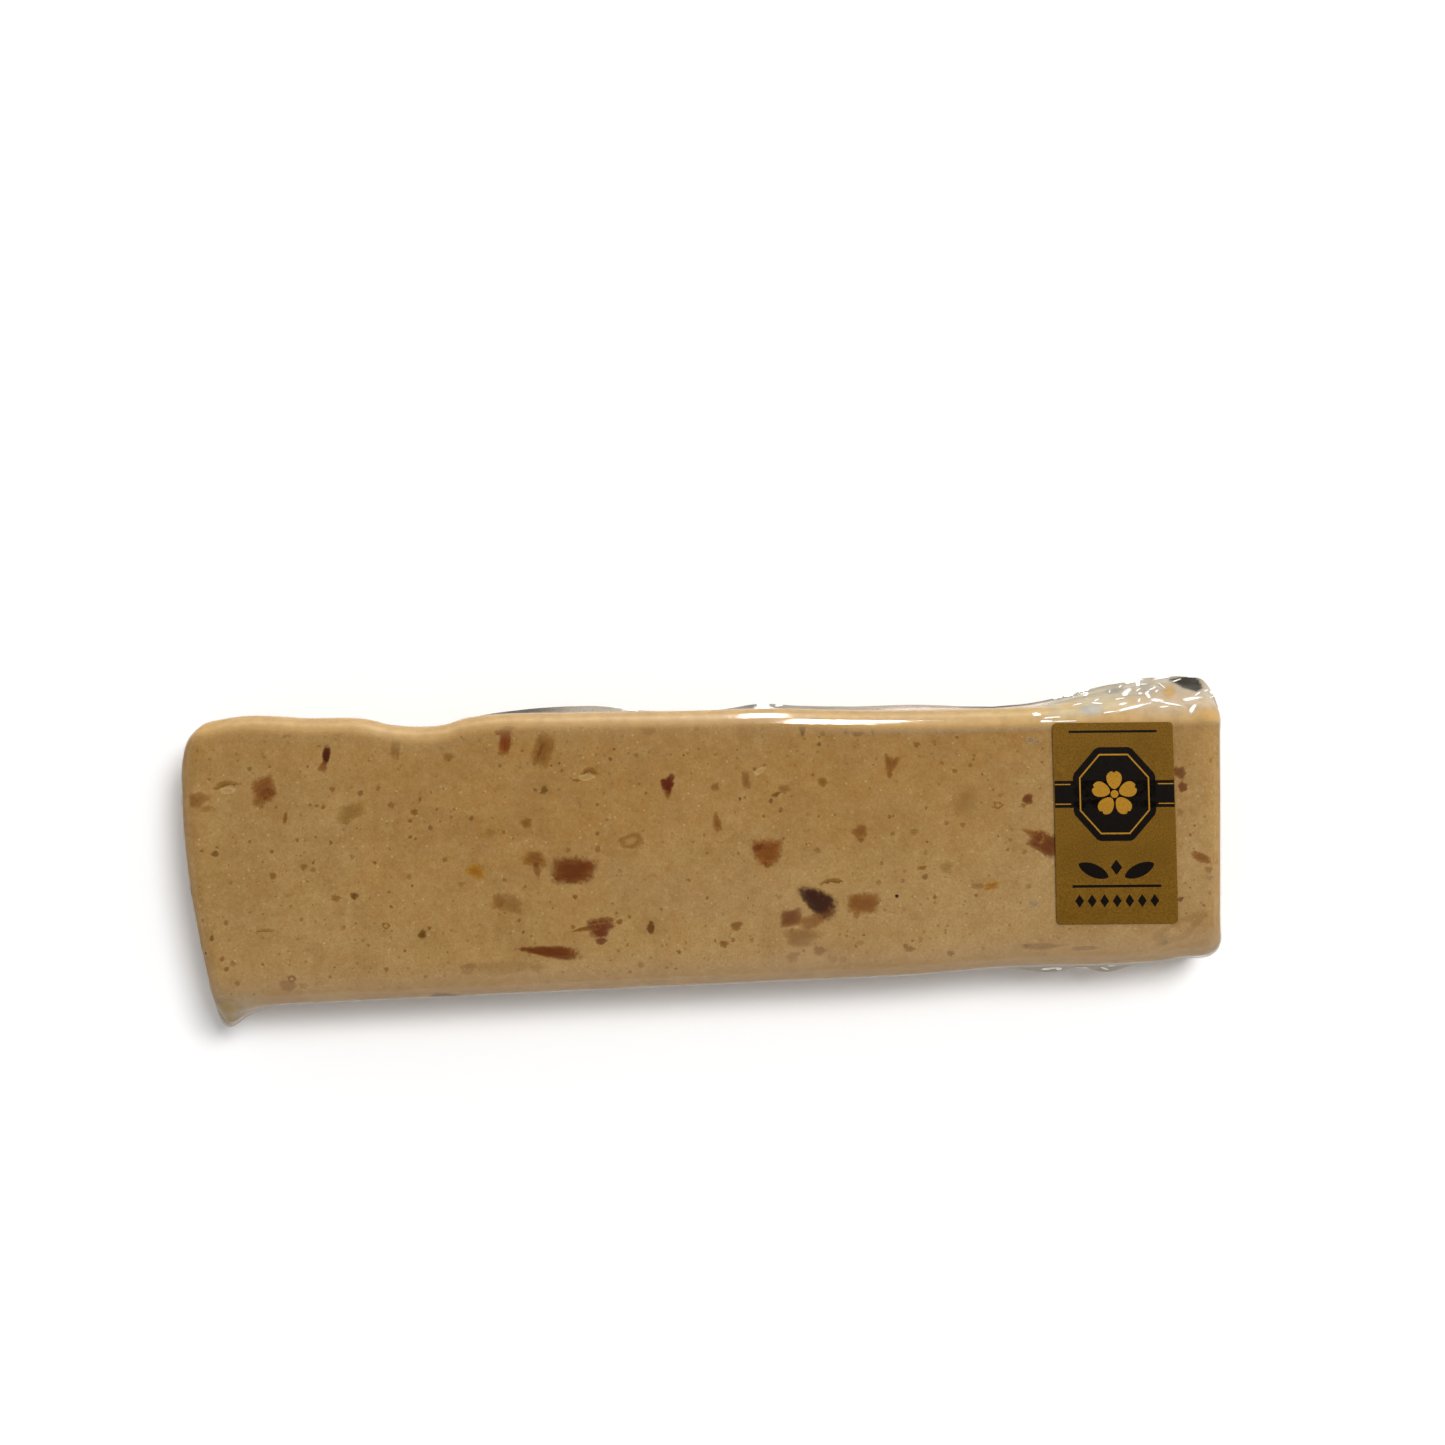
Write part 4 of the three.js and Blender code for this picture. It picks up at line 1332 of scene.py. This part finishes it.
class NOUGATBAR_OT_add_almonds(Operator):
    """Add the bits of almond that show in the nougat's surface, as skins and as pale kernel"""

    bl_idname = "nougatbar.add_almonds"
    bl_label = "Add Bits of Almond"

    def execute(self, context):
        look = settings().look
        draw = random.Random(BIT_SEED)
        masters = {kind: master_bit(kind) for kind in (*BENDS, "crumb", "ring")}
        kinds = ("block", "wedge", "cigar", "seed", "crumb", "fan")
        third = look.bits_elsewhere // 3
        skins = bits_in_face(SKINS_IN_FACE) + bits_elsewhere(
            draw, third, kinds, (RED_BROWN, RUST, BROWN, PLUM, PURPLE_BROWN),
            sizes=(1.5, 6.5), strengths=(0.6, 1.0),
        )
        kernels = bits_in_face(PALE_BITS_IN_FACE) + bits_elsewhere(
            draw, 2 * third, kinds, (OLIVE_BROWN, OLIVE, TAN_RED, YELLOW_BROWN),
            sizes=(1.2, 5.0), strengths=(0.3, 0.75),
        )
        nougat = bpy.data.objects["nougat"]
        for name, bits, lift, fibres in (
            ("almond_skins", skins, 0.05 * MM, 0.75),
            ("almond_kernels", kernels, 0.04 * MM, 0.5),
        ):
            piece = lay_bits(name, bits, masters, seed=3.0)
            press_on(piece, nougat, lift, wall=0.35 * MM)
            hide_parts("wrapped_bar")
            material = almond_material(name.replace("_", " ").title(), softness=0.10, fibres=fibres)
            finish_piece(piece, material)
        drop_masters(masters)
        return {"FINISHED"}


class NOUGATBAR_OT_add_specks(Operator):
    """Add the tiny dots of almond skin in the nougat"""

    bl_idname = "nougatbar.add_specks"
    bl_label = "Add Specks"

    def execute(self, context):
        look = settings().look
        bar = settings().bar
        draw = random.Random(SPECK_SEED)
        masters = {"crumb": master_bit("crumb", 9)}
        specks = []
        for x, y, breadth, strength in DOTS_IN_FACE:
            width = breadth * draw.uniform(0.75, 1.0)
            specks.append(
                ("crumb", x, y, breadth, width, draw.uniform(0, 180), draw.choice(SPECK_TONES), strength)
            )
        for _ in range(look.specks_in_face):
            x = draw.uniform(-0.485, 0.485) * bar.length / MM
            y = draw.uniform(-0.45, 0.45) * bar.width / MM
            breadth = 0.28 + 0.55 * draw.random() ** 2.2
            strength = draw.uniform(0.15, 0.6)
            specks.append(
                ("crumb", x, y, breadth, breadth * draw.uniform(0.6, 1), draw.uniform(0, 180),
                 draw.choice(SPECK_TONES), strength)
            )
        laid = bits_in_face(specks) + bits_elsewhere(
            draw, look.specks_elsewhere, ("crumb",), SPECK_TONES, sizes=(0.3, 1.3), strengths=(0.3, 0.8)
        )
        piece = lay_bits("specks", laid, masters, seed=11.0)
        press_on(piece, bpy.data.objects["nougat"], lift=0.03 * MM, wall=0.3 * MM)
        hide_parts("wrapped_bar")
        finish_piece(piece, almond_material("Specks", softness=0.12, fibres=0.25))
        drop_masters(masters)
        return {"FINISHED"}


class NOUGATBAR_OT_add_film(Operator):
    """Add the clear film round the bar, with its seam, its fold and its pinched corners"""

    bl_idname = "nougatbar.add_film"
    bl_label = "Add Film"

    def execute(self, context):
        bar = settings().bar
        radius = bar.rim_radius
        half = half_size()
        fold_from, fold_to = 56 * MM, half[0] - radius
        lines_x = rim_lines(
            half[0], radius, steps=8,
            between=even_lines(radius - half[0], fold_from, step=1.3 * MM) + [fold_from]
            + even_lines(fold_from, fold_to, step=0.45 * MM),
        )
        across = even_lines(radius - half[1], half[1] - radius, step=1.4 * MM)
        lines_y = rim_lines(half[1], radius, steps=10, between=across)
        seam = bar.seam_height - half[2]
        fin = [seam + step * SEAM_HALF * MM for step in (-1, -0.5, -0.25, 0.0, 0.25, 0.5, 1)]
        lines_z = rim_lines(
            half[2], radius, steps=10,
            between=even_lines(radius - half[2], fin[0], step=0.6 * MM) + fin
            + even_lines(fin[-1], half[2] - radius, step=0.5 * MM),
        )
        film = block_on_lines("film", lines_x, lines_y, lines_z)
        skin, out, up = bar_skin(read_spots(film))
        moved, fin_share, fold_share = film_reach(skin, out, up)
        x = moved[:, 0] / MM
        far = smooth_step(0.15, 0.6, out[:, 1])
        # crumpled facets, in the fold above all and a little along the fin
        crumpled = facets(moved[:, 0], moved[:, 1] * 1.3 + moved[:, 2], FACET_SEED)
        fold = smooth_step(0.12, 0.6, fold_share) * far
        lift = crumpled * bar.crumple * (fold + 0.12 * smooth_step(0.3, 1, fin_share) * far)
        moved += lift[:, None] * np.array(CRUMPLE_WAY)
        write_spots(film, moved + BAR_SHIFT)
        tints = self.tints(moved, out, up, fin_share, fold_share)
        write_values(film, "tint", tints, "FLOAT_COLOR")
        # where the tint is painted dark, as shade, the film mirrors little
        darkness = 1 - smooth_step(0.02, 0.15, tints[:, 1])
        shine = 1 - 0.85 * darkness * smooth_step(0.3, 0.8, tints[:, 3])
        ends = 1 - smooth_step(-97, -88, x) + smooth_step(96, 99, x) * (1 - far)
        write_values(film, "shine", shine * (1 - 0.6 * ends))
        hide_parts("wrapped_bar")
        finish_piece(film, film_material(), smooth_angle=24)
        return {"FINISHED"}

    def tints(self, moved, out, up, fin_share, fold_share):
        """The film's tint at each spot, painted light and shade among it, with its strength as the fourth
        value.
        """
        bar = settings().bar
        x, y = moved[:, 0] / MM, moved[:, 1] / MM
        far = smooth_step(0.15, 0.6, out[:, 1])
        tints = np.zeros((len(moved), 4))

        def lay_over(share, colour):
            share = np.clip(share, 0, 1)
            under = tints[:, 3] * (1 - share)
            total = np.maximum(under + share, 1e-6)
            tints[:, :3] *= under[:, None]
            tints[:, :3] += np.array(colour) * share[:, None]
            tints[:, :3] /= total[:, None]
            tints[:, 3] = under + share

        # a faint painted sheen on the film, in the right half of the near side above all
        painted_sheen = 0.002 + 0.03 * smooth_step(30, 85, x) * smooth_step(5, -18, y) * (out[:, 2] > 0)
        lay_over(painted_sheen, BEIGE_HAZE_AND_SHEEN)
        # painted light on the far rim, standing in for the light from behind, more so to the right
        right = smooth_step(0, 35, x)
        onto_rim = y - far_side(x) + bar.rim_radius / MM
        rim = smooth_step(-1.2, 2.6 - 1.9 * right, onto_rim) * smooth_step(-0.1, 0.2, out[:, 2])
        lay_over(rim * (0.72 - 0.05 * right), RIM_PAINTED_LIGHT)
        # painted sheen on the near rim
        onto_near = near_side(x) - y + bar.rim_radius / MM
        lay_over(0.24 * smooth_step(-3.0, 1.5, onto_near) * smooth_step(-0.1, 0.2, out[:, 2]), NEAR_PAINTED_LIGHT)
        # the fins and the pinched corners
        near = smooth_step(0.15, 0.6, -out[:, 1]) * smooth_step(0.02, 0.3, fin_share)
        lay_over(0.25 * near, FIN_PALE)
        for (place_x, place_y), _, corner_radius in PINCHED_CORNERS:
            away = np.hypot(x - place_x, y - place_y) / corner_radius
            lay_over(0.22 * np.exp(-(away**2)) * np.hypot(out[:, 0], out[:, 1]), FIN_PALE)
        fin_from = 0.02 + 0.5 * smooth_step(30, 40, x)
        fin_or_fold = np.maximum(
            smooth_step(fin_from, fin_from + 0.3, fin_share), smooth_step(0.1, 0.7, fold_share)
        )
        # the far fin's dark is painted shade, for the doubled film's dark reflection
        shade = (far_shade(x) * smooth_step(0.0, 0.4, fin_share))[:, None]
        fin_tone = np.array(FIN_PALE) * (1 - shade) + np.array(FIN_PAINTED_SHADE) * shade
        lay_over(far_haze(x) * fin_or_fold * far, fin_tone)
        # the tinted places, on the upper skin only
        upper = smooth_step(8.5, 9.5, up / MM)
        edge_line = smooth_step(0.3, 0.6, fin_share) * (1 - smooth_step(72, 82, x))
        seen_x, seen_y = self.seen_at(moved + BAR_SHIFT)
        for place_x, place_y, length, width, turn, soft, colour, strength in FILM_TINTS:
            along, across = turned(seen_x - place_x, seen_y - place_y, -math.radians(turn))
            away = np.hypot(along / (length / 2), across / (width / 2))
            inside = 1 - smooth_step(1 - soft * 0.5, 1 + soft * 0.5, away)
            lay_over(strength * inside * upper * (1 - edge_line), colour)
        # the patch of painted shade in the fold's corner
        depth = np.full(len(moved), 1e3)
        for (ax, ay), (bx, by) in zip(DARK_PATCH_OUTLINE, DARK_PATCH_OUTLINE[1:] + DARK_PATCH_OUTLINE[:1]):
            run = math.hypot(bx - ax, by - ay)
            off = ((seen_x - ax) * (by - ay) - (seen_y - ay) * (bx - ax)) / run
            depth = np.minimum(depth, off)
        lay_over(0.97 * smooth_step(-0.25, 0.25, depth) * upper, PAINTED_DARK_GREY)
        return tints

    def seen_at(self, spots):
        """Where the spots show from the camera, in millimetres at the height of the face."""
        eye = np.array(camera_place()[0])
        share = (FACE_LEVEL * MM - eye[2]) / (spots[:, 2] - eye[2])
        seen = (eye + (spots - eye) * share[:, None]) / MM
        return seen[:, 0], seen[:, 1]


class NOUGATBAR_OT_add_film_marks(Operator):
    """Add the small bubbles under the film, and its creases, painted white as glints"""

    bl_idname = "nougatbar.add_film_marks"
    bl_label = "Add Film Marks"

    def execute(self, context):
        masters = {kind: master_bit(kind) for kind in ("bubble", "cigar")}
        film = bpy.data.objects["film"]
        marks = [
            self.in_view("bubble", x, y, breadth, breadth * 0.85, 0, CLOUDY, 0.30)
            for x, y, breadth in BUBBLES
        ]
        piece = lay_bits("film_marks", marks, masters, seed=17.0, spread=1.0)
        self.lay_as_seen(piece, film, marks, 0.0)
        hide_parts("wrapped_bar")
        finish_piece(piece, film_mark_material())

        draw = random.Random(CREASE_SEED)
        lines = list(FILM_CREASES)
        for _ in range(SMALL_CREASES):
            x = draw.uniform(76, 99)
            y = 25.4 + draw.random() * (0.6 + 0.7 * float(tent_reach(x)))
            lines.append((x, y, draw.uniform(0.6, 2.2), draw.uniform(0.2, 0.4), draw.gauss(10, 40)))
        creases = [
            self.in_view("cigar", x, y, length, width, turn, CLOUDY, 1.0)
            for x, y, length, width, turn in lines
        ]
        ridges = lay_bits("film_crease_glints", creases, masters, seed=23.0, spread=1.22)
        self.lay_as_seen(ridges, film, creases, RIDGE_HEIGHT * MM)
        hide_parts("wrapped_bar")
        finish_piece(ridges, glint_crease_material())
        drop_masters(masters)
        return {"FINISHED"}

    def in_view(self, kind, x, y, length, width, turn, tint, strength):
        """A mark at the height of the face, in the form in which bits are laid."""
        place = Vector((x, y, FACE_LEVEL)) * MM
        return (
            kind, place, Vector((0, 0, 1)), length * MM, width * MM, math.radians(turn), tint, strength
        )

    def lay_as_seen(self, piece, film, marks, height):
        """Moves each spot along the line of sight onto the film, and raises it to its ridge. A spot
        past the film's edge is drawn in to it."""
        eye, _ = camera_place()
        spots = read_spots(piece)
        rims = read_rims(piece)
        each = len(spots) // len(marks)
        for number, spot in enumerate(spots):
            inwards = Vector((math.copysign(0.06 * MM, spot[0]), math.copysign(0.1 * MM, spot[1]), 0))
            for step in range(60):
                aim = Vector(spot) - inwards * step
                hit, place, normal, _ = film.ray_cast(eye, (aim - eye).normalized())
                if hit:
                    break
            else:
                raise RuntimeError(f"no film under the mark at {tuple(marks[number // each][1])}")
            dome = height * (1 - (1 - float(rims[number])) ** 2)
            spots[number] = place + normal * (MARK_LIFT * MM + dome)
        write_spots(piece, spots)
        give_wall(piece, MARK_WALL * MM)


def on_label(u, v):
    """The place in x and y of a spot on the label, in millimetres from its middle."""
    middle = (LABEL_BOX[0] + LABEL_BOX[1]) / 2
    x, y = turned(u, v, LABEL_TURN)
    return middle.x + x * MM, middle.y + y * MM


def print_shape(name, spots_of, points=72, rings=(0.1,) * 9):
    """A flat printed shape, whose outline spots_of gives for each angle, in label millimetres."""
    disc = flat_disc(name, points, rings)
    spots = read_spots(disc)
    for spot in spots:
        away = math.hypot(spot[0], spot[1])
        spot[0], spot[1] = spots_of(math.atan2(spot[1], spot[0]), away)
    write_spots(disc, spots)
    return disc


def octagon(angle, away, half):
    """A place in an eight-sided shape round the medallion's middle."""
    part = math.tau / 8
    off = (angle - part / 2) % part - part / 2
    reach = math.cos(part / 2) / math.cos(off) * away
    return half[0] * reach * math.cos(angle), MEDALLION_V + half[1] * reach * math.sin(angle)


def bar_strip(name, u, v, width, height):
    """A flat printed strip with enough lines across to follow the label."""
    deselect_all()
    cuts_u, cuts_v = max(1, round(width / 2)), max(1, round(height / 2))
    bpy.ops.mesh.primitive_grid_add(x_subdivisions=cuts_u, y_subdivisions=cuts_v, size=1.0)
    strip = named(name)
    spots = read_spots(strip)
    spots[:, 0] = u + spots[:, 0] * width
    spots[:, 1] = v + spots[:, 1] * height
    write_spots(strip, spots)
    return strip


def joined(name, parts):
    """Several pieces joined into one."""
    deselect_all()
    for part in parts:
        part.select_set(True)
    bpy.context.view_layer.objects.active = parts[0]
    if len(parts) > 1:
        bpy.ops.object.join()
    parts[0].name = parts[0].data.name = name
    return parts[0]


class NOUGATBAR_OT_add_label(Operator):
    """Finish the paper label and add its print: a medallion on a band, a blossom and leaves"""

    bl_idname = "nougatbar.add_label"
    bl_label = "Add Label"

    def execute(self, context):
        look = settings().look
        bright_gold = [channel * 2.4 for channel in look.gold]
        # grain's share, roughness and metal of the paper and of its two prints
        paper = paper_material("Gold Paper", look.gold, 0.5, 0.42, 0.25)
        ink = paper_material("Black Print", look.ink, 0.4, 0.34, 0.0)
        thin_gold = paper_material("Gold Line", bright_gold, 0.3, 0.4, 0.3)
        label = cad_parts["label"]
        for material_slot in label.material_slots:
            material_slot.link = "OBJECT"
            material_slot.material = paper
        self.lay_print("label_print", self.black_parts(), ink, PRINT_LIFT * MM)
        self.lay_print("label_lines", self.gold_parts(), thin_gold, GOLD_LIFT * MM)
        return {"FINISHED"}

    def black_parts(self):
        """The medallion, its band, the leaves and the foot strip."""

        def medallion(angle, away):
            return octagon(angle, away, MEDALLION_HALF)

        def leaf(side):
            def outline(angle, away):
                u = LEAF_HALF[0] * away * math.cos(angle)
                v = LEAF_HALF[1] * away * math.sin(angle) * abs(math.sin(angle)) ** 0.35
                u, v = turned(u, v, LEAF_LEAN * side)
                return side * LEAF_PLACE[0] + u, LEAF_PLACE[1] + v

            return outline

        def lozenge(u, v, breadth, height):
            def outline(angle, away):
                reach = away / (abs(math.cos(angle)) + abs(math.sin(angle)))
                return u + breadth * reach * math.cos(angle), v + height * reach * math.sin(angle)

            return outline

        parts = [
            print_shape("medallion", medallion),
            bar_strip("band", 0, MEDALLION_V, *BAND_SIZE),
            print_shape("leaf_left", leaf(-1), points=36, rings=(0.25,) * 3),
            print_shape("leaf_right", leaf(1), points=36, rings=(0.25,) * 3),
            print_shape("lozenge_middle", lozenge(0, -8.6, 1.1, 1.5), points=24, rings=(0.4,)),
            bar_strip("rule", 0, -12.2, 17.0, 0.5),
        ]
        for step in range(-3, 4):
            diamond = lozenge(step * 2.4, -15.0, 0.85, 1.25)
            parts.append(print_shape(f"lozenge_{step + 4}", diamond, points=16, rings=(0.4,)))
        parts.append(bar_strip("head_rule", 0, 17.6, 17.0, 0.45))
        return parts

    def gold_parts(self):
        """The thin ring, the blossom and the rules of the band, in gold on the black."""

        def petal(number):
            def outline(angle, away):
                along = PETAL_HALF[0] * away * math.cos(angle)
                across = PETAL_HALF[1] * away * math.sin(angle) * (1 + 0.25 * math.cos(angle))
                if away > 0.9 and abs(angle) < 0.2:
                    along -= PETAL_NOTCH
                turn = math.pi / 2 + number * math.tau / 5
                u, v = turned(PETAL_REACH + along, across, turn)
                return u, MEDALLION_V + v

            return outline

        def eye(angle, away):
            reach = EYE_RADIUS * away
            return reach * math.cos(angle), MEDALLION_V + reach * math.sin(angle)

        parts = [self.thin_ring()]
        for number in range(5):
            parts.append(print_shape(f"petal_{number}", petal(number), points=28, rings=(0.3, 0.3)))
        parts.append(print_shape("eye", eye, points=20, rings=(0.4,)))
        for side in (-1, 1):
            for row in (-1, 1):
                u, v = side * BAND_RULE_PLACE[0], MEDALLION_V + row * BAND_RULE_PLACE[1]
                parts.append(bar_strip("band_rule", u, v, 3.0, 0.2))
        return parts

    def thin_ring(self):
        """A thin eight-sided ring inside the medallion's edge."""
        deselect_all()
        bpy.ops.mesh.primitive_circle_add(vertices=64, radius=1.0, fill_type="NGON")
        ring = bpy.context.object
        bpy.ops.object.mode_set(mode="EDIT")
        bpy.ops.mesh.select_mode(type="FACE")
        bpy.ops.mesh.inset(thickness=0.04)
        bpy.ops.mesh.delete(type="FACE")
        bpy.ops.object.mode_set(mode="OBJECT")
        spots = read_spots(ring)
        for spot in spots:
            angle, away = math.atan2(spot[1], spot[0]), math.hypot(spot[0], spot[1])
            spot[0], spot[1] = octagon(angle, away, RING_HALF)
        write_spots(ring, spots)
        return ring

    def lay_print(self, name, parts, material, lift):
        """Joins the printed parts and lays them on the label's face."""
        piece = joined(name, parts)
        spots = read_spots(piece)
        top = LABEL_BOX[1].z
        for spot in spots:
            spot[0], spot[1] = on_label(spot[0], spot[1])
            spot[2] = top + 1 * MM
        write_spots(piece, spots)
        apply_modifier(
            piece, "SHRINKWRAP", target=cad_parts["label"], wrap_method="PROJECT",
            use_project_z=True, use_negative_direction=True, use_positive_direction=False,
            wrap_mode="ABOVE_SURFACE", offset=lift,
        )
        give_wall(piece, PRINT_WALL * MM)
        finish_piece(piece, material)


def area_lamp(name, place, target, size_x, size_y, radiance):
    """A soft lamp that shines at a target and doesn't show itself."""
    deselect_all()
    bpy.ops.object.light_add(type="AREA", location=place)
    lamp = named(name)
    lamp.rotation_euler = (Vector(target) - Vector(place)).to_track_quat("-Z", "Y").to_euler()
    lamp.data.shape = "RECTANGLE"
    lamp.data.size, lamp.data.size_y = size_x, size_y
    lamp.data.energy = radiance * size_x * size_y * math.pi
    lamp.visible_camera = False
    return lamp


class NOUGATBAR_OT_add_stage(Operator):
    """Add the pale floor, the studio lights and the camera"""

    bl_idname = "nougatbar.add_stage"
    bl_label = "Add Stage"

    def execute(self, context):
        stage = settings().stage
        deselect_all()
        bpy.ops.mesh.primitive_plane_add(size=stage.floor_size, location=(0, 0, -FLOOR_DROP * MM))
        floor = named("floor")
        material, tree, output = new_material("Pale Floor")
        shader = node(tree, "ShaderNodeBsdfDiffuse")
        shader.inputs["Color"].default_value = colour4([FLOOR_SHADE] * 3)
        feed(tree, output.inputs["Surface"], shader.outputs[0])
        floor.data.materials.append(material)
        self.add_lights()
        self.add_camera(stage)
        return {"FINISHED"}

    def add_lights(self):
        """A broad key from behind and above, two narrow strips behind, and an even white room."""
        key = area_lamp("key_light", KEY_PLACE, (0, 0, 0), KEY_SIZE, KEY_SIZE, KEY_RADIANCE)
        key.visible_glossy = False
        # two strips that only the film mirrors, as a broken bright line along its far rim
        for name, x, low, high, width in STRIPS:
            height = (low + high) / 2
            place, target = (x, STRIP_Y, height), (x, 0.0, height)
            strip = area_lamp(name, place, target, width, high - low, STRIP_RADIANCE)
            strip.visible_diffuse = False
        world = bpy.data.worlds.new("Even Room")
        bpy.context.scene.world = world
        world.use_nodes = True
        tree = world.node_tree
        tree.nodes.clear()
        output = node(tree, "ShaderNodeOutputWorld")
        room = node(tree, "ShaderNodeBackground")
        # the room is dim overhead, darker still where the film mirrors it, and bright low down
        # all round, most of all behind the bar
        split = node(tree, "ShaderNodeSeparateXYZ")
        feed(tree, split.inputs[0], node(tree, "ShaderNodeTexCoord").outputs["Generated"])
        side = maths(tree, "MULTIPLY_ADD", split.outputs["Y"], 0.8, 2.2)
        ring = rise(tree, split.outputs["Z"], 0.12, 0.5, 1.0, 0.0)
        path = node(tree, "ShaderNodeLightPath")
        mirrored = path.outputs["Is Glossy Ray"]
        overhead = maths(tree, "MULTIPLY_ADD", mirrored, -0.47, 0.52)
        ring = maths(tree, "MULTIPLY", ring, maths(tree, "MULTIPLY_ADD", mirrored, 0.6, 0.4))
        feed(tree, room.inputs["Strength"], maths(tree, "MULTIPLY_ADD", ring, side, overhead))
        backdrop = node(tree, "ShaderNodeBackground")
        backdrop.inputs["Strength"].default_value = 1.0
        seen = two_shaders(tree, path.outputs["Is Camera Ray"], room.outputs[0], backdrop.outputs[0])
        feed(tree, output.inputs["Surface"], seen)

    def add_camera(self, stage):
        """The camera, almost straight above the bar and a little to the near side."""
        place, back = camera_place()
        deselect_all()
        bpy.ops.object.camera_add(location=place)
        camera = named("camera")
        camera.rotation_euler = (-back).to_track_quat("-Z", "Y").to_euler()
        camera.data.lens = stage.lens
        camera.data.sensor_width = SENSOR_WIDTH
        camera.data.clip_start, camera.data.clip_end = 0.01, 20.0
        bpy.context.scene.camera = camera
        bpy.context.scene.view_settings.view_transform = "Standard"


STEPS = (
    NOUGATBAR_OT_add_nougat,
    NOUGATBAR_OT_add_almonds,
    NOUGATBAR_OT_add_specks,
    NOUGATBAR_OT_add_film,
    NOUGATBAR_OT_add_film_marks,
    NOUGATBAR_OT_add_label,
    NOUGATBAR_OT_add_stage,
)


class NOUGATBAR_PT_panel(Panel):
    """Lists the steps that build the bar, and its settings"""

    bl_label = "Nougat Bar"
    bl_idname = "NOUGATBAR_PT_panel"
    bl_space_type = "VIEW_3D"
    bl_region_type = "UI"
    bl_category = "Nougat Bar"

    def draw(self, context):
        for step in STEPS:
            self.layout.operator(step.bl_idname)
        values = context.scene.nougat_bar
        for group in (values.bar, values.look, values.stage):
            box = self.layout.box()
            for name in group.bl_rna.properties.keys():
                if name not in ("rna_type", "name"):
                    box.prop(group, name)


CLASSES = (BarSettings, LookSettings, StageSettings, NougatBarSettings, *STEPS, NOUGATBAR_PT_panel)


def register():
    for made in CLASSES:
        bpy.utils.register_class(made)
    bpy.types.Scene.nougat_bar = PointerProperty(type=NougatBarSettings)


def unregister():
    del bpy.types.Scene.nougat_bar
    for made in reversed(CLASSES):
        bpy.utils.unregister_class(made)


def main():
    """Builds every piece in order."""
    register()
    bpy.ops.nougatbar.add_nougat()
    bpy.ops.nougatbar.add_almonds()
    bpy.ops.nougatbar.add_specks()
    bpy.ops.nougatbar.add_film()
    bpy.ops.nougatbar.add_film_marks()
    bpy.ops.nougatbar.add_label()
    bpy.ops.nougatbar.add_stage()


if __name__ == "__main__":
    main()
